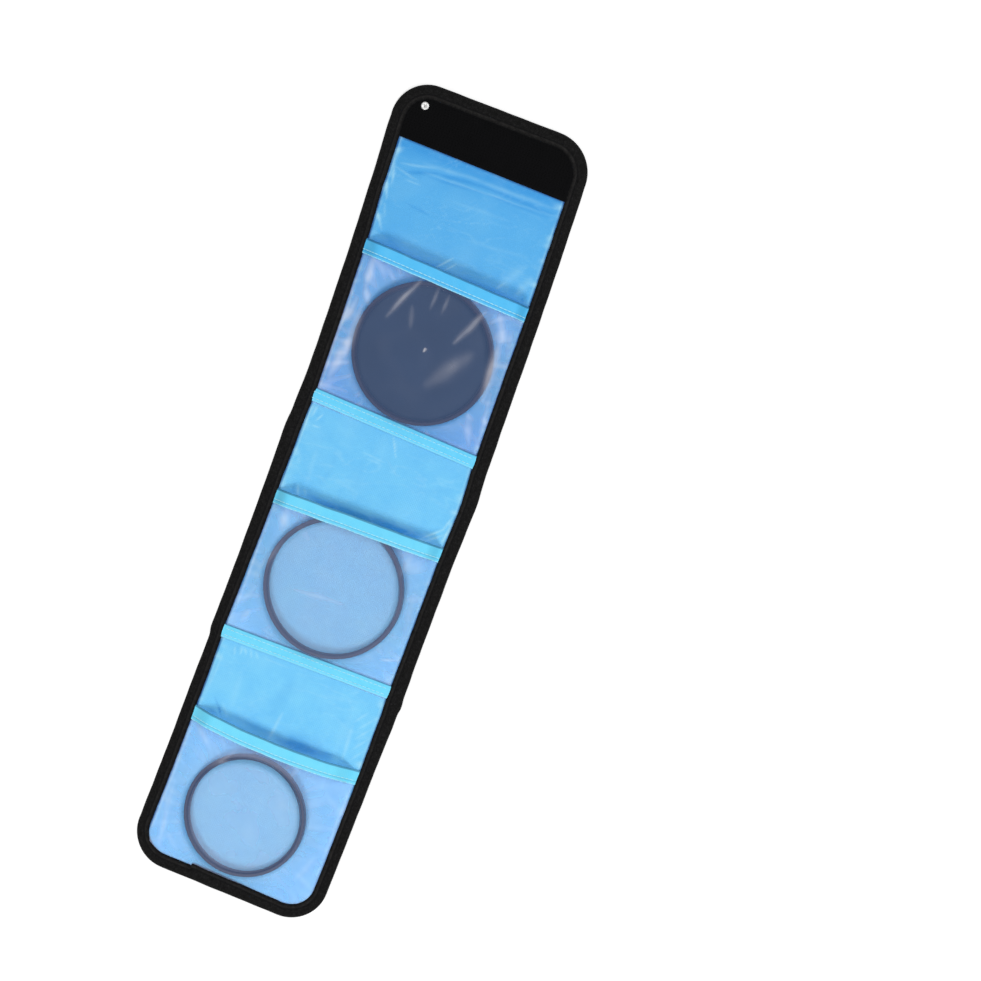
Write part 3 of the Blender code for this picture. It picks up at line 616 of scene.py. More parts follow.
def sideStation(side, run):  # (x, y, outward x, outward y, width) on one side of the strip
    outer, inner = edgeAt(side, "Outer", run), edgeAt(side, "Inner", run)
    outer += 0.00015 * wave(side, run, 0.009, 21.0)
    width = outer - inner + 0.00018 * wave(side, run, 0.006, 23.0)
    return (side * outer + sway(run), strip["halfLength"] - run, side, 0.0, width)


def cornerStations(side, cornerRun, endRun):  # from the side round the corner to the strip's end
    radius, steps = strip["corner"], binding["cornerSteps"]
    outer, inner = edgeAt(side, "Outer", cornerRun), edgeAt(side, "Inner", cornerRun)
    upward = 1.0 if endRun < cornerRun else -1.0
    stations = []
    for step in range(steps + 1):
        angle = math.pi / 2 * step / steps
        outX, outY = side * math.cos(angle), upward * math.sin(angle)
        bend = sway(cornerRun) + (sway(endRun) - sway(cornerRun)) * step / steps
        width = outer - inner + (binding["endWidth"] - outer + inner) * (1 - ease(step / steps))
        stations.append((side * (outer - radius) + radius * outX + bend,
                         strip["halfLength"] - cornerRun + radius * outY, outX, outY, width))
    return stations


def endStations(cornerRun, endRun):  # across the strip's end, from corner to corner
    radius, lapAt = strip["corner"], binding["lapAt"]
    upward = 1.0 if endRun < cornerRun else -1.0
    left = radius - edgeAt(-1, "Outer", cornerRun) + sway(endRun)
    right = edgeAt(1, "Outer", cornerRun) - radius + sway(endRun)
    endY = strip["halfLength"] - cornerRun + upward * radius
    count = round((right - left) / binding["step"])
    places = [left + (right - left) * step / count for step in range(1, count)]
    lapped = endRun > cornerRun  # at the bottom the tape's end is lapped over its start
    if lapped:
        places = [x for x in places if abs(x - lapAt) > 0.0006] + [lapAt - 0.00012, lapAt + 0.00012]
    stations = []
    for x in sorted(places):
        y = endY + 0.0002 * wave(x, endRun, 0.012, 27.0)
        width = binding["endWidth"] + 0.0001 * wave(x, endRun, 0.007, 29.0)
        if lapped and x > lapAt:
            width += binding["lapStep"] * ease((x - lapAt) / binding["lapLength"])
        stations.append((x, y, 0.0, upward, width))
    return stations


def bindingStations(span):  # one list of stations for each stretch of tape
    start, end, total = span["start"], span["end"], 2 * strip["halfLength"]
    if start > 0 and end < total:
        count = max(round((end - start) / binding["step"]), 2)
        runs = [start + (end - start) * step / count for step in range(count + 1)]
        return [[sideStation(side, run) for run in runs] for side in (-1, 1)]
    atFlap = start == 0
    openRun, endRun = (end, 0.0) if atFlap else (start, total)
    cornerRun = strip["corner"] if atFlap else total - strip["corner"]
    count = max(round(abs(openRun - cornerRun) / binding["step"]), 2)
    runs = [openRun + (cornerRun - openRun) * step / count for step in range(count)]
    sides = [[sideStation(side, run) for run in runs] + cornerStations(side, cornerRun, endRun) for side in (-1, 1)]
    return [sides[0] + endStations(cornerRun, endRun) + sides[1][::-1]]


def bindingSection(width):  # the folded tape's own line, from its lower hem round the edge to its upper hem
    bulge, thick = binding["bulge"], binding["thick"]
    low, high = thick / 2 + 0.00015, heights["top"] - thick / 2 - 0.0002
    middle = (low + high) / 2
    line = [(width, low + 0.0002), (width - 0.0006, low), (width * 0.6, low), (bulge + 0.001, low)]
    for step in range(1, 12):
        angle = -math.pi / 2 + math.pi * step / 12
        line.append((bulge * (1 - math.cos(angle)) + thick / 2, middle + (high - middle) * math.sin(angle)))
    seam = width - binding["seamIn"]
    line += [(bulge + 0.001, high + 0.0001), ((bulge + seam) / 2, high + 0.00018), (seam - 0.0007, high + 0.0001),
             (seam, high - 0.00016), (seam + 0.0007, high + 0.0001), (width - 0.0006, high + 0.00008),
             (width - 0.0001, high - 0.00022), (width, high - 0.0006)]
    return line


def tapeSpot(station, inward, height):
    x, y, outX, outY, width = station
    return Vector((x - outX * inward, y - outY * inward, height))


def tapeStretch(stations):  # one stretch of the tape with its length
    sections = [[tapeSpot(station, inward, height) for inward, height in bindingSection(station[4])]
                for station in stations]
    travel = [0.0]
    for near, far in zip(stations, stations[1:]):
        travel.append(travel[-1] + math.hypot(far[0] - near[0], far[1] - near[1]))
    rows, columns = len(sections) - 1, len(sections[0]) - 1

    def place(u, v):
        row, column = round(v * rows), round(u * columns)
        point = sections[row][column].copy()
        point.z += 0.00012 * wave(travel[row], column * 0.003, 0.006, 33.0 + stations[0][2])
        return point

    def seamLight(u, v):  # the fold beside the seam catches the light
        lit = round(u * columns) == binding["lightColumn"]
        return 0.22 + 0.3 * wave(u, v * travel[-1], 0.004, 35.0) if lit else 0.0

    def seamShade(u, v):
        return binding["shadeColumns"].get(round(u * columns), 0.0)
    piece = sheetGrid(columns, rows, place, (binding["unfolded"], travel[-1]), binding["thick"],
                      {"creaseLight": seamLight, "shadeEdge": seamShade})
    return piece, travel[-1]


def bindingSeam(stations):
    return [(tapeSpot(station, station[4] - binding["seamIn"], heights["top"] - 0.00025), Vector((0, 0, 1)))
            for station in stations]


def looseThread():  # over the bottom edge
    look = binding["looseThread"]
    ends = [Vector((sway(0.4675), strip["halfLength"] - run, heights["top"] + 0.0001))
            for run in (look["from"], look["to"])]
    return stitchRow([(end, Vector((0, 0, 1))) for end in ends], look)


def makeBinding(span):
    name = span["name"]
    stretches = [tapeStretch(stations) for stations in bindingStations(span)]
    piece = joinPieces([made for made, length in stretches])
    activate(piece)
    bpy.ops.object.mode_set(mode="EDIT")
    faceOutward()
    finishPiece(piece, name + "Binding", "binding", "binding_tape", 75)
    bendOverFold(piece, span)
    rows = [stitchRow(bindingSeam(stations), binding["stitches"]) for stations in bindingStations(span)]
    if name == "bottomEnd":
        rows.append(looseThread())
    stitches = joinStitches(rows, name + "Binding", "blackStitch", "binding_tape")
    bendOverFold(stitches, span)
    nodes = []
    for segment in span["segments"]:
        whole = segment in ("flap", "bottom_panel")  # the tape goes round the end in one piece
        nodes += [segment + "_binding"] if whole else [segment + "_binding_left", segment + "_binding_right"]
    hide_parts(*nodes)


for span in strip["spans"]:
    makeBinding(span)
print("binding made")


# The pockets set painted shade on their tapes, deepest on the top pocket, and painted light on their films where lit
# cloth lies under them
pockets = [
    {"name": "top", "body": "top_panel", "centre": 0.1409, "shift": 0.0027, "radius": 0.040,
     "mouth": 0.0947, "tilt": 0.0018, "sag": 0.0, "seam": 0.1821, "seamTilt": 0.0014, "tuck": 0.0076,
     "finish": "darkGlass", "glassSlot": "dark_glass", "retainer": 0.0004, "ledge": 0.0018,
     "paintedShade": 0.85, "lightFromBelow": 0.7, "streaks": 0.6, "bandLightFromBelow": 0.0, "glassLightFromBelow": 0.2},
    {"name": "middle", "body": "middle_panel", "centre": 0.2822, "shift": 0.0004, "radius": 0.040,
     "mouth": 0.2410, "tilt": -0.0015, "sag": 0.0, "seam": 0.3235, "seamTilt": -0.0012, "tuck": 0.0076,
     "finish": "clearGlass", "glassSlot": "clear_glass", "retainer": 0.0002, "ledge": 0.0004,
     "paintedShade": 0.15, "lightFromBelow": 0.85, "streaks": 0.35, "bandLightFromBelow": 0.34, "glassLightFromBelow": 1.0},
    {"name": "bottom", "body": "bottom_panel", "centre": 0.4223, "shift": -0.0006, "radius": 0.035,
     "mouth": 0.3750, "tilt": 0.0, "sag": 0.0030, "seam": 0.4617, "seamTilt": 0.0, "tuck": 0.004,
     "finish": "clearGlass", "glassSlot": "clear_glass", "retainer": 0.0007, "ledge": 0.0007,
     "paintedShade": 0.0, "lightFromBelow": 1.0, "streaks": 0.25, "bandLightFromBelow": 0.0, "glassLightFromBelow": 1.0},
]
film = {"columns": 124, "cell": 0.00078, "thick": 0.00022, "side": 0.0500, "hem": 0.003, "inset": 0.003,
        "rise": 0.0063, "mouthRise": 0.0068, "slack": 0.0004, "lift": 0.00015, "tapeWidth": 0.0082,
        "lipRun": 0.008, "drawnBack": 0.0011}


def sideEdge(pocket, x):  # from the filter's middle to where the film is sewn at the side
    return film["side"] - math.copysign(pocket["shift"], x - pocket["shift"])


def sideRise(pocket, x):  # 1 over the filter's width, down to 0 where the film is sewn at the side
    flat = pocket["radius"] + film["slack"]
    return ease((abs(x - pocket["shift"]) - flat) / (sideEdge(pocket, x) - flat))


def mouthLine(pocket, x):  # where the mouth stands up it is drawn back towards the flap
    share = x / 0.05
    line = pocket["mouth"] + pocket["tilt"] * share + pocket["sag"] * (1 - share * share)
    return line - film["drawnBack"] * sideRise(pocket, x)


def seamLine(pocket, x):
    return pocket["seam"] + pocket["seamTilt"] * x / 0.05


def filmRise(pocket, x, run):  # how far the film's middle stands over its seat
    side = sideRise(pocket, x)
    away, past = x - pocket["shift"], run - pocket["centre"]
    if past > 0:  # beyond the filter's middle the film comes down round its rim
        side = 1.0
        flat = pocket["radius"] + film["slack"]
        reach = math.hypot(away, past)
        if reach > flat:
            toSeam = (seamLine(pocket, x) - pocket["centre"]) / max(past / reach, 0.001)
            toSide = sideEdge(pocket, x) / max(abs(away / reach), 0.001)
            limit = max(min(toSeam, toSide), flat + 0.0008)
            side = ease((reach - flat) / (limit - flat))
    lip = ease((run - mouthLine(pocket, x) - film["tapeWidth"]) / film["lipRun"])
    return (film["rise"] + (film["mouthRise"] - film["rise"]) * lip) * side


# Creases in the film, in millimetres: from (x, run) to (x, run), half width, how pale (painted highlight), how dark,
# how high
creases = {
    "top": [
        (-11, 104, -23, 129, 1.3, 0.55, 0, 0.1), (0, 104, -1, 117, 1, 0.3, 0, 0), (7, 106, 6, 117, 0.9, 0.28, 0, 0),
        (29, 106, 18, 129, 1.6, 0.55, 0, 0.1), (29, 131, 11, 156, 4, 0.28, 0, 0),
        (-11, 119, -8, 130, 1.3, 0.28, 0, 0), (-41, 103, -39, 118, 2.4, 0.8, 0, 0.4),
        (-39, 118, -35, 127, 2, 0.6, 0, 0.3), (-42, 126, -46, 141, 2.4, 0.75, 0, 0.3),
        (-39, 148, -43, 173, 3, 0.8, 0, 0.35), (-46.5, 108, -46.5, 178, 0.9, 0.5, 0, 0.1),
        (-38, 128, -38, 158, 2, 0.55, 0, 0.1), (42, 118, 43, 152, 2.4, 0.7, 0, 0.1),
        (46, 110, 48, 127, 1.6, 0.32, 0, 0.3), (38, 163, 44, 180, 2, 0.5, 0, 0.35),
        (46, 148, 48, 175, 1.3, 0.42, 0, 0.3), (-30, 176, -46, 178, 1.5, 0.3, 0, 0.2),
        (36, 104, 44, 118, 1.9, 0.55, 0, 0.3), (3.9, 137.2, 3.1, 139.8, 0.55, 1.6, 0, 0),
    ],
    "middle": [
        (-39, 249, -38, 262, 2.6, 0.45, 0, 0.4), (35, 250, 34, 262, 2.2, 0.32, 0, 0.3),
        (-41, 299, -48, 311, 2, 0.42, 0, 0.35), (-39, 312, -42, 320, 1.8, 0.42, 0, 0.3),
        (-21, 291, 9, 288, 1.2, 0.28, 0, 0), (39, 310, 48.5, 308, 0.7, 0.55, 0, 0.3),
        (-35, 268, -44, 291, 1.8, 0.22, 0, 0.2), (-30, 256, -21, 262, 2, 0.15, 0, 0),
        (44, 268, 48, 300, 1.6, 0.22, 0, 0.2), (-48, 258, -48, 320, 0.8, 0.3, 0, 0.1),
        (-30, 319, -18, 322, 1.4, 0.25, 0, 0.1),
    ],
    "bottom": [
        (-45, 384, -35, 391, 2.2, 0.32, 0, 0.3), (-29, 404, -18, 387, 1.2, 0.25, 0, 0.15),
        (-46, 418, -42, 450, 2.4, 0.32, 0, 0.35), (-43, 438, -40, 458, 1.6, 0.34, 0, 0.3),
        (-48, 384, -48, 450, 0.8, 0.32, 0, 0.1), (38, 392, 47, 400, 1.8, 0.22, 0, 0.25),
        (39, 446, 45, 430, 1.8, 0.26, 0, 0.3), (-26, 399, -20, 395, 1.2, 0.22, 0, 0),
        (49, 384, 49, 430, 0.8, 0.25, 0, 0.1), (10, 400, 20, 409, 3, 0.1, 0, 0),
        (-30, 456, -38, 448, 1.6, 0.25, 0, 0.25),
    ],
}


def pastRim(pocket, x, run):  # how far outside the filter's rim
    return math.hypot(x - pocket["shift"], run - pocket["centre"]) - pocket["radius"]


def creaseRise(pocket, x, run):
    total = 0.4 * strokeSum(creases[pocket["name"]], "high", x, run, unit=1000)
    total += 0.00018 * (wave(x, run, 0.010, 41.0) + 0.5 * wave(x, run, 0.0045, 43.0))
    return total * clamp((pastRim(pocket, x, run) - 0.0005) / 0.004)


# painted light: the film is paler where lit cloth lies under it, less over the rings and the dark glass
def filmLightFromBelow(pocket, x, run):
    past = pastRim(pocket, x, run)
    outside = clamp((past + 0.0003) / 0.0025)
    inside = pocket["glassLightFromBelow"] * clamp((-past - 0.0024) / 0.0030)
    return max(outside, inside, pocket["bandLightFromBelow"]) * pocket["lightFromBelow"]


def creaseLight(pocket, x, run):
    total = strokeSum(creases[pocket["name"]], "pale", x, run)
    past = pastRim(pocket, x, run)
    if past > 0:  # painted highlights: soft streaks run out from the rim
        turn = math.atan2(x - pocket["shift"], run - pocket["centre"])
        streak = max(wave(turn * 0.04, past * 0.25, 0.0035, 100.0), 0.0)
        total += pocket["streaks"] * streak * min(past / 0.004, 1.0)
    total += (0.02 + 0.10 * filmLightFromBelow(pocket, x, run)) * max(wave(x, run, 0.013, 49.0), 0.0)
    return min(total, 0.9)


def filmPoint(pocket, x, run, lift):
    step = 0.0003

    def rise(a, b):
        return filmRise(pocket, a, b) + creaseRise(pocket, a, b)
    slopeX = (rise(x + step, run) - rise(x - step, run)) / (2 * step)
    slopeS = (rise(x, run + step) - rise(x, run - step)) / (2 * step)
    normal = Vector((-slopeX, slopeS, 1)).normalized()
    return spot(x, run, heights["seat"] + film["lift"] + rise(x, run)) + normal * lift


def makeWindow(pocket, start, end):
    half = film["side"] + film["hem"]

    def flatPlace(u, v):
        run = end + (start - end) * v
        return (2 * u - 1) * min(half, sheetHalf(run, film["inset"])), run

    def filmPlace(u, v):
        x, run = flatPlace(u, v)
        shift = mouthLine(pocket, x) - pocket["mouth"]
        run += shift * ease((run - pocket["mouth"] - film["tapeWidth"]) / pocket["radius"])
        return filmPoint(pocket, x, run, film["lift"])
    window = sheetGrid(film["columns"], round((end - start) / film["cell"]), filmPlace, (2 * half, end - start),
                       film["thick"], {"creaseLight": lambda u, v: creaseLight(pocket, *flatPlace(u, v)),
                                       "lightFromBelow": lambda u, v: filmLightFromBelow(pocket, *flatPlace(u, v))})
    corners = window.data.vertices
    oneFace = len(corners) // 2
    upperFirst = corners[oneFace // 2].co.z > corners[oneFace + oneFace // 2].co.z
    mark = window.data.attributes.new("clearPart", "FLOAT", "POINT")
    for corner in corners:  # the film's lower face and its sewn edge add next to nothing
        run = strip["halfLength"] - corner.co.y
        x = corner.co.x - sway(run)
        lower = (corner.index < oneFace) != upperFirst
        sewn = edgeAt(x, "Inner", run) - abs(x) < 0.0007
        mark.data[corner.index].value = float(lower or sewn)
    finishPiece(window, pocket["name"] + "Film", "film", "window_film", 75)
    window.visible_shadow = False  # nearly all light goes on through the film
    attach(window, pocket["body"])
    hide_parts(pocket["name"] + "_pocket_window")
    return window


def tapeLift(x):  # half the mouth tape's own height, less where the film is sewn down
    return 0.00042 * (0.45 + 0.55 * ease((abs(x) - 0.040) / 0.009))


mouthTape = {
    "columns": 96, "thick": 0.0003, "spare": 0.0008, "seamFrom": 0.74, "seamTo": 0.80,
    "under": (1, 0.75, 0.5, 0.25, 0.1, 0.04),
    "over": (0.04, 0.08, 0.12, 0.25, 0.4, 0.55, 0.66, 0.71, 0.77, 0.83, 0.89, 0.94, 0.97, 1),
    "rows": ({"share": 0.70, "size": (0.0026, 0.0005, 0.0004), "pitch": 0.0027},
             {"share": 0.955, "size": (0.0026, 0.0004, 0.0003), "pitch": 0.0027}),
}


def makeMouthTape(pocket):
    width = film["tapeWidth"]
    section = [(width * share, -1) for share in mouthTape["under"]]
    section += [(-0.0003, -0.5), (-0.0004, 0.0), (-0.0003, 0.5)]
    section += [(width * share, 1) for share in mouthTape["over"]]
    last = len(section) - 1

    def place(u, v):
        x = (2 * u - 1) * (film["side"] + mouthTape["spare"])
        inward, layer = section[round(v * last)]
        ruck = 0.00012 * wave(x, inward, 0.006, 51.0)
        run = mouthLine(pocket, x) + inward + 0.0002 * wave(x, 0.0, 0.012, 53.0)
        return filmPoint(pocket, x, run, film["lift"] + layer * tapeLift(x) + ruck * (layer > 0))

    def shade(u, v):  # painted shade: the fold at the mouth is in its own shade, and a thin line lies beside a stitch row
        inward, layer = section[round(v * last)]
        if inward < 0.0004:
            return 0.6
        return 0.28 if layer > 0 and mouthTape["seamFrom"] < inward / width < mouthTape["seamTo"] else 0.0

    def light(u, v):
        inward = section[round(v * last)][0]
        pale = 0.35 if inward > 0.92 * width else 0.0
        return pale + 0.15 * max(wave(u * 0.1, inward, 0.005, 55.0), 0.0)
    # The tape carries the pocket's painted shade
    tape = sheetGrid(mouthTape["columns"], last, place, (2 * film["side"], 0.0172), mouthTape["thick"],
                     {"shadeEdge": shade, "creaseLight": light, "paintedShade": lambda u, v: pocket["paintedShade"]})
    finishPiece(tape, pocket["name"] + "MouthTape", "tape", "pocket_tape", 60)
    rows = []
    for look in mouthTape["rows"]:
        line = []
        for step in range(101):
            x = (step / 50 - 1) * (film["side"] - 0.0008)
            run = mouthLine(pocket, x) + width * look["share"]
            top = filmPoint(pocket, x, run, film["lift"] + tapeLift(x) + 0.00018)
            line.append((top, (top - filmPoint(pocket, x, run, 0)).normalized()))
        rows.append(stitchRow(line, look))
    stitches = joinStitches(rows, pocket["name"] + "Mouth", "stitch", "pocket_tape")
    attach(tape, pocket["body"])
    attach(stitches, pocket["body"])
    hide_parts(pocket["name"] + "_pocket_mouth_tape")


seamTape = {"width": 0.0076, "columns": 80, "rows": 12, "thick": 0.0003, "height": 0.0050, "ridge": 0.00022,
            "past": 0.0003, "paintedShadeShare": 0.35, "stitchRuns": (0.0022, 0.0058), "stitchHeight": 0.0053,
            "stitches": {"size": (0.0025, 0.00045, 0.0004), "pitch": 0.0027, "lift": 0.0001}}


def makeSeamTape(pocket):
    def place(u, v):
        x = (2 * u - 1) * (film["side"] + 0.0008)
        run = seamLine(pocket, x) + seamTape["past"] + seamTape["width"] * (1 - v)
        ridge = seamTape["ridge"] * math.sin(math.pi * v) + 0.00015 * wave(x, run, 0.007, 61.0)
        return spot(x, run, seamTape["height"] + ridge)

    def light(u, v):
        return 0.4 if v < 0.1 else 0.15 * max(wave(u * 0.1, v * seamTape["width"], 0.004, 57.0), 0.0)
    # The seam tape carries part of the pocket's painted shade, a line of painted shade along its upper edge and
    # painted light along its lower edge
    tape = sheetGrid(seamTape["columns"], seamTape["rows"], place, (2 * film["side"], seamTape["width"]),
                     seamTape["thick"], {"paintedShade": lambda u, v: seamTape["paintedShadeShare"] * pocket["paintedShade"],
                                         "shadeEdge": lambda u, v: 0.85 if v > 0.95 else 0.0, "creaseLight": light})
    finishPiece(tape, pocket["name"] + "SeamTape", "tape", "pocket_tape", 60)
    rows = []
    for inward in seamTape["stitchRuns"]:
        places = [(step / 40 - 1) * (film["side"] - 0.0008) for step in range(81)]
        line = [spot(x, seamLine(pocket, x) + seamTape["past"] + inward, seamTape["stitchHeight"]) for x in places]
        rows.append(stitchRow([(place, Vector((0, 0, 1))) for place in line], seamTape["stitches"]))
    stitches = joinStitches(rows, pocket["name"] + "Seam", "stitch", "pocket_tape")
    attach(tape, pocket["body"])
    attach(stitches, pocket["body"])
    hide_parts(pocket["name"] + "_pocket_seam_tape")
    return [tape, stitches]


def makePocket(pocket):
    start, end = pocket["mouth"] + 0.0006, pocket["seam"] + pocket["tuck"]
    window = makeWindow(pocket, start, end)
    makeMouthTape(pocket)
    sewn = makeSeamTape(pocket) if pocket["name"] != "bottom" else []


for pocket in pockets:
    makePocket(pocket)
    print(pocket["name"], "pocket made")


def turnedRing(profile, steps):  # a closed section of (radius, height) turned about Z
    mesh = bpy.data.meshes.new("section")
    mesh.from_pydata([(radius, 0, height) for radius, height in profile],
                     [(i, (i + 1) % len(profile)) for i in range(len(profile))], [])
    ring = bpy.data.objects.new("section", mesh)
    bpy.context.collection.objects.link(ring)
    activate(ring)
    bpy.ops.object.mode_set(mode="EDIT")
    bpy.ops.mesh.select_all(action="SELECT")
    bpy.ops.mesh.spin(steps=steps, angle=math.tau, center=(0, 0, 0), axis=(0, 0, 1))
    bpy.ops.mesh.select_all(action="SELECT")
    bpy.ops.mesh.remove_doubles(threshold=0.00001)
    faceOutward()
    return ring


def placeTurned(piece, place, body, node, name, finish, slotName, angle):
    for corner in piece.data.vertices:
        corner.co += place
    finishPiece(piece, name, finish, slotName, angle)
    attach(piece, body)
    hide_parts(node)


filterRing = {"steps": 160, "glassSteps": 96, "retainerSteps": 128, "wall": 0.0022, "height": 0.006,
              "grip": (0.0029, 0.0049), "gripDeep": 0.00022, "gap": 0.0003, "bevel": 0.0003,
              "glass": (0.0027, 0.0042), "lip": (0.0045, 0.0052)}


def ringProfile(radius, bore, ledge):
    crest, root, top = radius - 0.0015, radius - 0.0017, filterRing["height"]
    thread = [(crest, 0.0), (crest, 0.0002), (root, 0.0004), (crest, 0.0006), (root, 0.0008), (crest, 0.0010),
              (root, 0.0012), (crest, 0.0014), (root, 0.0017), (root, 0.0018)]
    band = [(radius - 0.0003, 0.0018), (radius, 0.0021), (radius, 0.0028), (radius - 0.0002, 0.0030),
            (radius - 0.0002, 0.0048), (radius, 0.0050), (radius, 0.0057), (radius - 0.0003, top)]
    grooved = bore + 0.0002
    inside = [(bore + 0.0006, top), (grooved, 0.0057), (grooved, 0.0054), (bore, 0.0052), (grooved, 0.0050),
              (bore, 0.0048), (grooved, 0.0046), (bore, 0.0044), (bore, 0.0024), (ledge, 0.0024), (ledge, 0.0018),
              (bore, 0.0018), (bore, 0.0)]
    return thread + band + inside


def gripRing(ring, radius):  # every other line of the band stands proud
    low, high = filterRing["grip"]
    for corner in ring.data.vertices:
        onBand = abs(math.hypot(corner.co.x, corner.co.y) - (radius - 0.0002)) < 0.00005
        turn = round(math.atan2(corner.co.y, corner.co.x) / math.tau * filterRing["steps"])
        if onBand and low < corner.co.z < high and turn % 2:
            corner.co.x *= 1 + filterRing["gripDeep"] / radius
            corner.co.y *= 1 + filterRing["gripDeep"] / radius


def makeFilter(pocket):
    radius, name, body = pocket["radius"], pocket["name"], pocket["name"] + "_filter"
    bore = radius - filterRing["wall"]
    place = spot(pocket["shift"], pocket["centre"], heights["seat"])
    ring = turnedRing(ringProfile(radius, bore, bore - pocket["ledge"]), filterRing["steps"])
    gripRing(ring, radius)
    placeTurned(ring, place, body, body + "_ring", name + "Ring", "ring", "ring_metal", 30)

    inner, bevel = bore - filterRing["gap"], filterRing["bevel"]
    low, high = filterRing["glass"]
    centre = 0.00001
    pane = turnedRing([(inner - bevel, low), (inner, low + bevel), (inner, high - bevel), (inner - bevel, high),
                       (centre, high), (centre, low)], filterRing["glassSteps"])
    pane.visible_shadow = pocket["finish"] == "darkGlass"
    placeTurned(pane, place, body, body + "_glass", name + "Glass", pocket["finish"], pocket["glassSlot"], 30)

    lip, (low, high) = pocket["retainer"], filterRing["lip"]
    retainer = turnedRing([(inner - lip, low), (inner, low), (inner, 0.0050), (inner - 0.0001, high),
                           (inner - lip * 0.5, high), (inner - lip, 0.0048)], filterRing["retainerSteps"])
    placeTurned(retainer, place, body, body + "_retainer", name + "Retainer", "ring", "ring_metal", 30)


for pocket in pockets:
    makeFilter(pocket)
print("filters made")


hookPatch = {"endRun": 0.0338, "inset": 0.0070, "bottom": 0.0042, "thick": 0.0006, "flat": (0.0994, 0.0255),
             "roundShare": 0.94, "pitchX": 0.0018, "pitchS": 0.0015, "firstRun": 0.0093, "lastGap": 0.0008,
             "stem": 0.00016, "stemHeight": 0.0007, "squat": 0.75, "eyeletGap": 0.003}


def makeHook():  # a stem whose top is drawn over into a hook, at the origin
    height = hookPatch["stemHeight"]
    bpy.ops.mesh.primitive_cylinder_add(vertices=4, radius=hookPatch["stem"], depth=height, end_fill_type="NOTHING",
                                        location=(0, 0, height / 2))
    hook = bpy.context.object
    bpy.ops.object.transform_apply(location=True, rotation=True, scale=True)
    bpy.ops.object.mode_set(mode="EDIT")
    bpy.ops.mesh.select_all(action="DESELECT")
    bpy.ops.object.mode_set(mode="OBJECT")
    for edge in hook.data.edges:
        edge.select = all(hook.data.vertices[i].co.z > height * 0.9 for i in edge.vertices)
    bpy.ops.object.mode_set(mode="EDIT")
    for step in ((0.00012, 0, 0.0002), (0.00025, 0, 0.00006), (0.00016, 0, -0.00018)):
        bpy.ops.mesh.extrude_region_move(TRANSFORM_OT_translate={"value": step})
    bpy.ops.mesh.edge_face_add()
    bpy.ops.object.mode_set(mode="OBJECT")
    return hook


def makeHookPile():
    hook = makeHook()
    eye = spot(eyelet["x"], eyelet["run"], 0)
    made = []
    run = hookPatch["firstRun"]
    row = 0
    while run < hookPatch["endRun"] - hookPatch["lastGap"]:
        half = sheetHalf(run, 0.0083) - 0.0012
        count = int(2 * half / hookPatch["pitchX"])
        flip = 1 if row % 2 else -1
        for step in range(count + 1):
            x = -half + 2 * half * step / count + (row % 2) * hookPatch["pitchX"] / 2
            foot = spot(x, run, hookPatch["bottom"] + hookPatch["thick"] - 0.0001)
            if abs(x) > half or (foot.xy - eye.xy).length < hookPatch["eyeletGap"]:
                continue
            turned = Vector((flip, flip, hookPatch["squat"]))
            made.append(copyPiece(hook, lambda at: foot + at * turned))
        run += hookPatch["pitchS"]
        row += 1
    bpy.data.objects.remove(hook, do_unlink=True)
    return finishPiece(joinPieces(made), "hookPile", "hook", "hook_pile", 30)


def makeHookPatch():
    def place(u, v):
        run = hookPatch["endRun"] + (hookPatch["inset"] - hookPatch["endRun"]) * v
        x = (2 * u - 1) * sheetHalf(run, hookPatch["inset"])
        run += 0.0007 * x / 0.05 * (1 - v)
        return spot(x, run, hookPatch["bottom"] + hookPatch["thick"] / 2 + 0.00015 * wave(x, run, 0.015, 71.0))
    patch = sheetGrid(60, 20, place, (0.1, 0.0255), hookPatch["thick"])
    pierce(patch)
    finishPiece(patch, "hookPatch", "hook", "hook_pile", 60)
    hooks = makeHookPile()
    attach(patch, "flap")
    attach(hooks, "flap")
    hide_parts("hook_patch")


def makeEyelet():
    place = spot(eyelet["x"], eyelet["run"], 0)
    bore, barrel, flange, low = eyelet["bore"], eyelet["barrel"], eyelet["flange"], eyelet["bottom"]
    ring = turnedRing([(bore, 0.0002), (barrel, 0.0002), (barrel, low), (flange - 0.0001, low),
                       (flange, low + 0.00012), (flange - 0.0001, low + 0.0003), (flange - 0.0004, low + 0.00048),
                       (flange - 0.0008, low + 0.0005), (flange - 0.0012, low + 0.00036),
                       (bore + 0.0002, low - 0.0002), (bore, low - 0.0005)], 64)
    placeTurned(ring, place, "flap", "eyelet", "eyeletFlange", "eyelet", "eyelet_metal", 40)
    rim = turnedRing([(0.0017, 0.0002), (0.0020, 0.0), (0.0025, 0.0001), (0.0027, 0.0004), (0.0026, 0.0006),
                      (0.0017, 0.0006)], 64)
    placeTurned(rim, place, "flap", "eyelet_washer", "eyeletBack", "eyelet", "eyelet_metal", 40)


loopPatch = {"endRun": 0.3342, "length": 0.050, "half": 0.038, "thick": 0.0007}


def makeLoopPatch():
    def place(u, v):
        x = (2 * u - 1) * loopPatch["half"]
        run = loopPatch["endRun"] - loopPatch["length"] * v
        return spot(x, run, loopPatch["thick"] / 2 + 0.00005 * wave(x, run, 0.004, 81.0))
    patch = sheetGrid(76, 50, place, (0.076, 0.05), loopPatch["thick"])
    finishPiece(patch, "loopPatch", "loop", "loop_pile", 60)
    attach(patch, "middle_panel")
    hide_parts("loop_patch")


makeHookPatch()
makeEyelet()
makeLoopPatch()
print("patches and eyelet made")


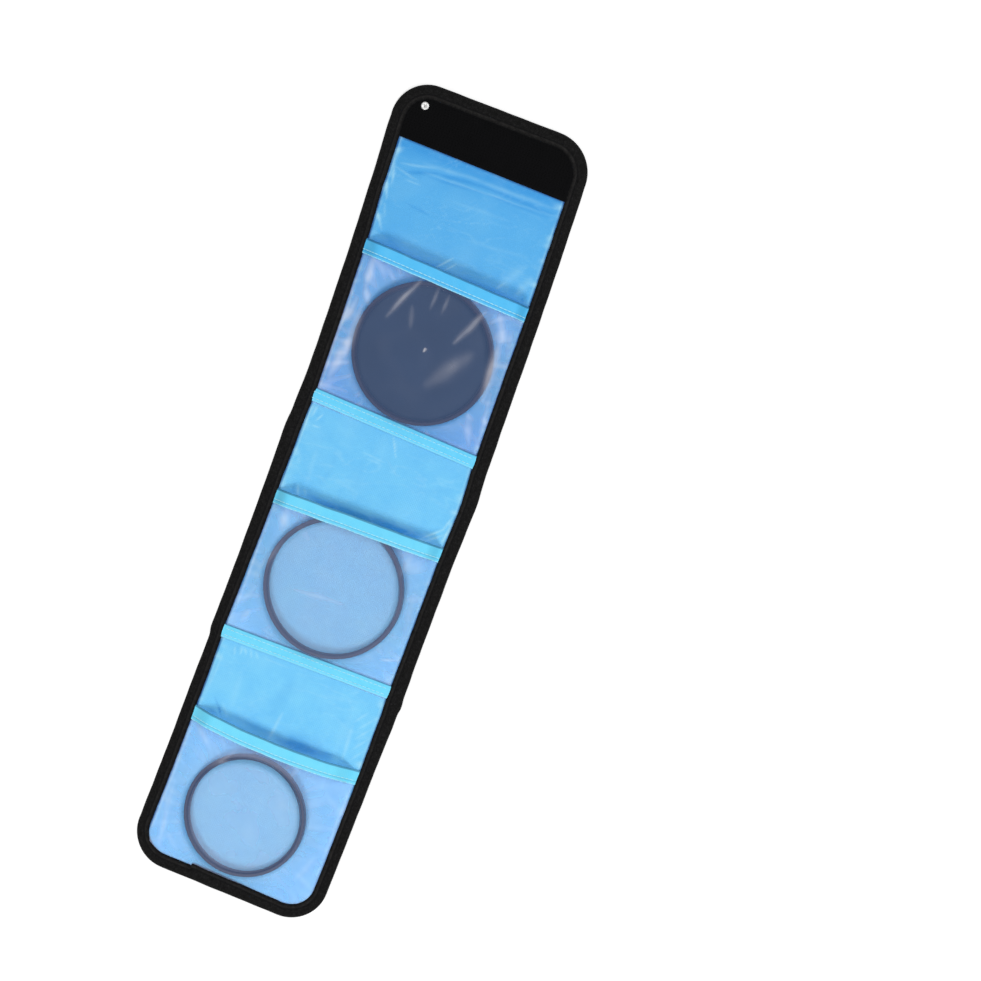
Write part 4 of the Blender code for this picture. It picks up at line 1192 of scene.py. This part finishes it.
def floorMaterial(look):  # it looks white, also in metal and glass, and keeps its shadows
    made = newMaterial(look)
    seen = addNode(made, "LightPath", {}).outputs
    either = addNode(made, "Math", {0: seen["Is Camera Ray"], 1: seen["Is Glossy Ray"]}, operation="MAXIMUM")
    anyRay = addNode(made, "Math", {0: either.outputs["Value"], 1: seen["Is Transmission Ray"]}, operation="MAXIMUM")
    glow = addNode(made, "Math", {0: anyRay.outputs["Value"], 1: look["glow"]}, operation="MULTIPLY")
    return setSurface(made, look, {"Base Color": (*look["color"], 1), "Emission Color": (1, 1, 1, 1),
                                   "Emission Strength": glow.outputs["Value"]})


bpy.ops.mesh.primitive_plane_add(size=8, location=(0, 0, -0.0003))
floor = bpy.context.object
floor.name = "floor"
floor.data.materials.append(floorMaterial({
    "name": "paleFloor", "color": (0.60, 0.60, 0.60), "roughness": 0.9, "gloss": 0.0, "glow": 0.62}))

world = bpy.data.worlds.new("paleWorld")
bpy.context.scene.world = world
world.use_nodes = True
world.node_tree.nodes["Background"].inputs["Color"].default_value = (1, 1, 1, 1)
world.node_tree.nodes["Background"].inputs["Strength"].default_value = 0.42

lamps = [
    {"name": "keyLamp", "place": (0.4, 0.4, 1.0), "size": 0.6, "power": 5.0},
    {"name": "lowLamp", "place": (0.0, -0.74, 1.1), "size": 0.4, "power": 5.7},
]
for lamp in lamps:
    data = bpy.data.lights.new(lamp["name"], "AREA")
    data.size = lamp["size"]
    data.energy = lamp["power"]
    light = bpy.data.objects.new(lamp["name"], data)
    light.location = lamp["place"]
    light.rotation_euler = (-Vector(lamp["place"])).to_track_quat("-Z", "Y").to_euler()
    bpy.context.collection.objects.link(light)

camera = bpy.data.objects.new("camera", bpy.data.cameras.new("camera"))
bpy.context.collection.objects.link(camera)
camera.location = (0.4578, 0.5128, 2.7017)
camera.rotation_euler = [math.radians(turn) for turn in (-6.4678, 11.1858, 20.2128)]
camera.data.lens = 183.49
camera.data.sensor_width = 36
bpy.context.scene.camera = camera
bpy.context.scene.view_settings.view_transform = "Standard"
print("floor, light and camera set")
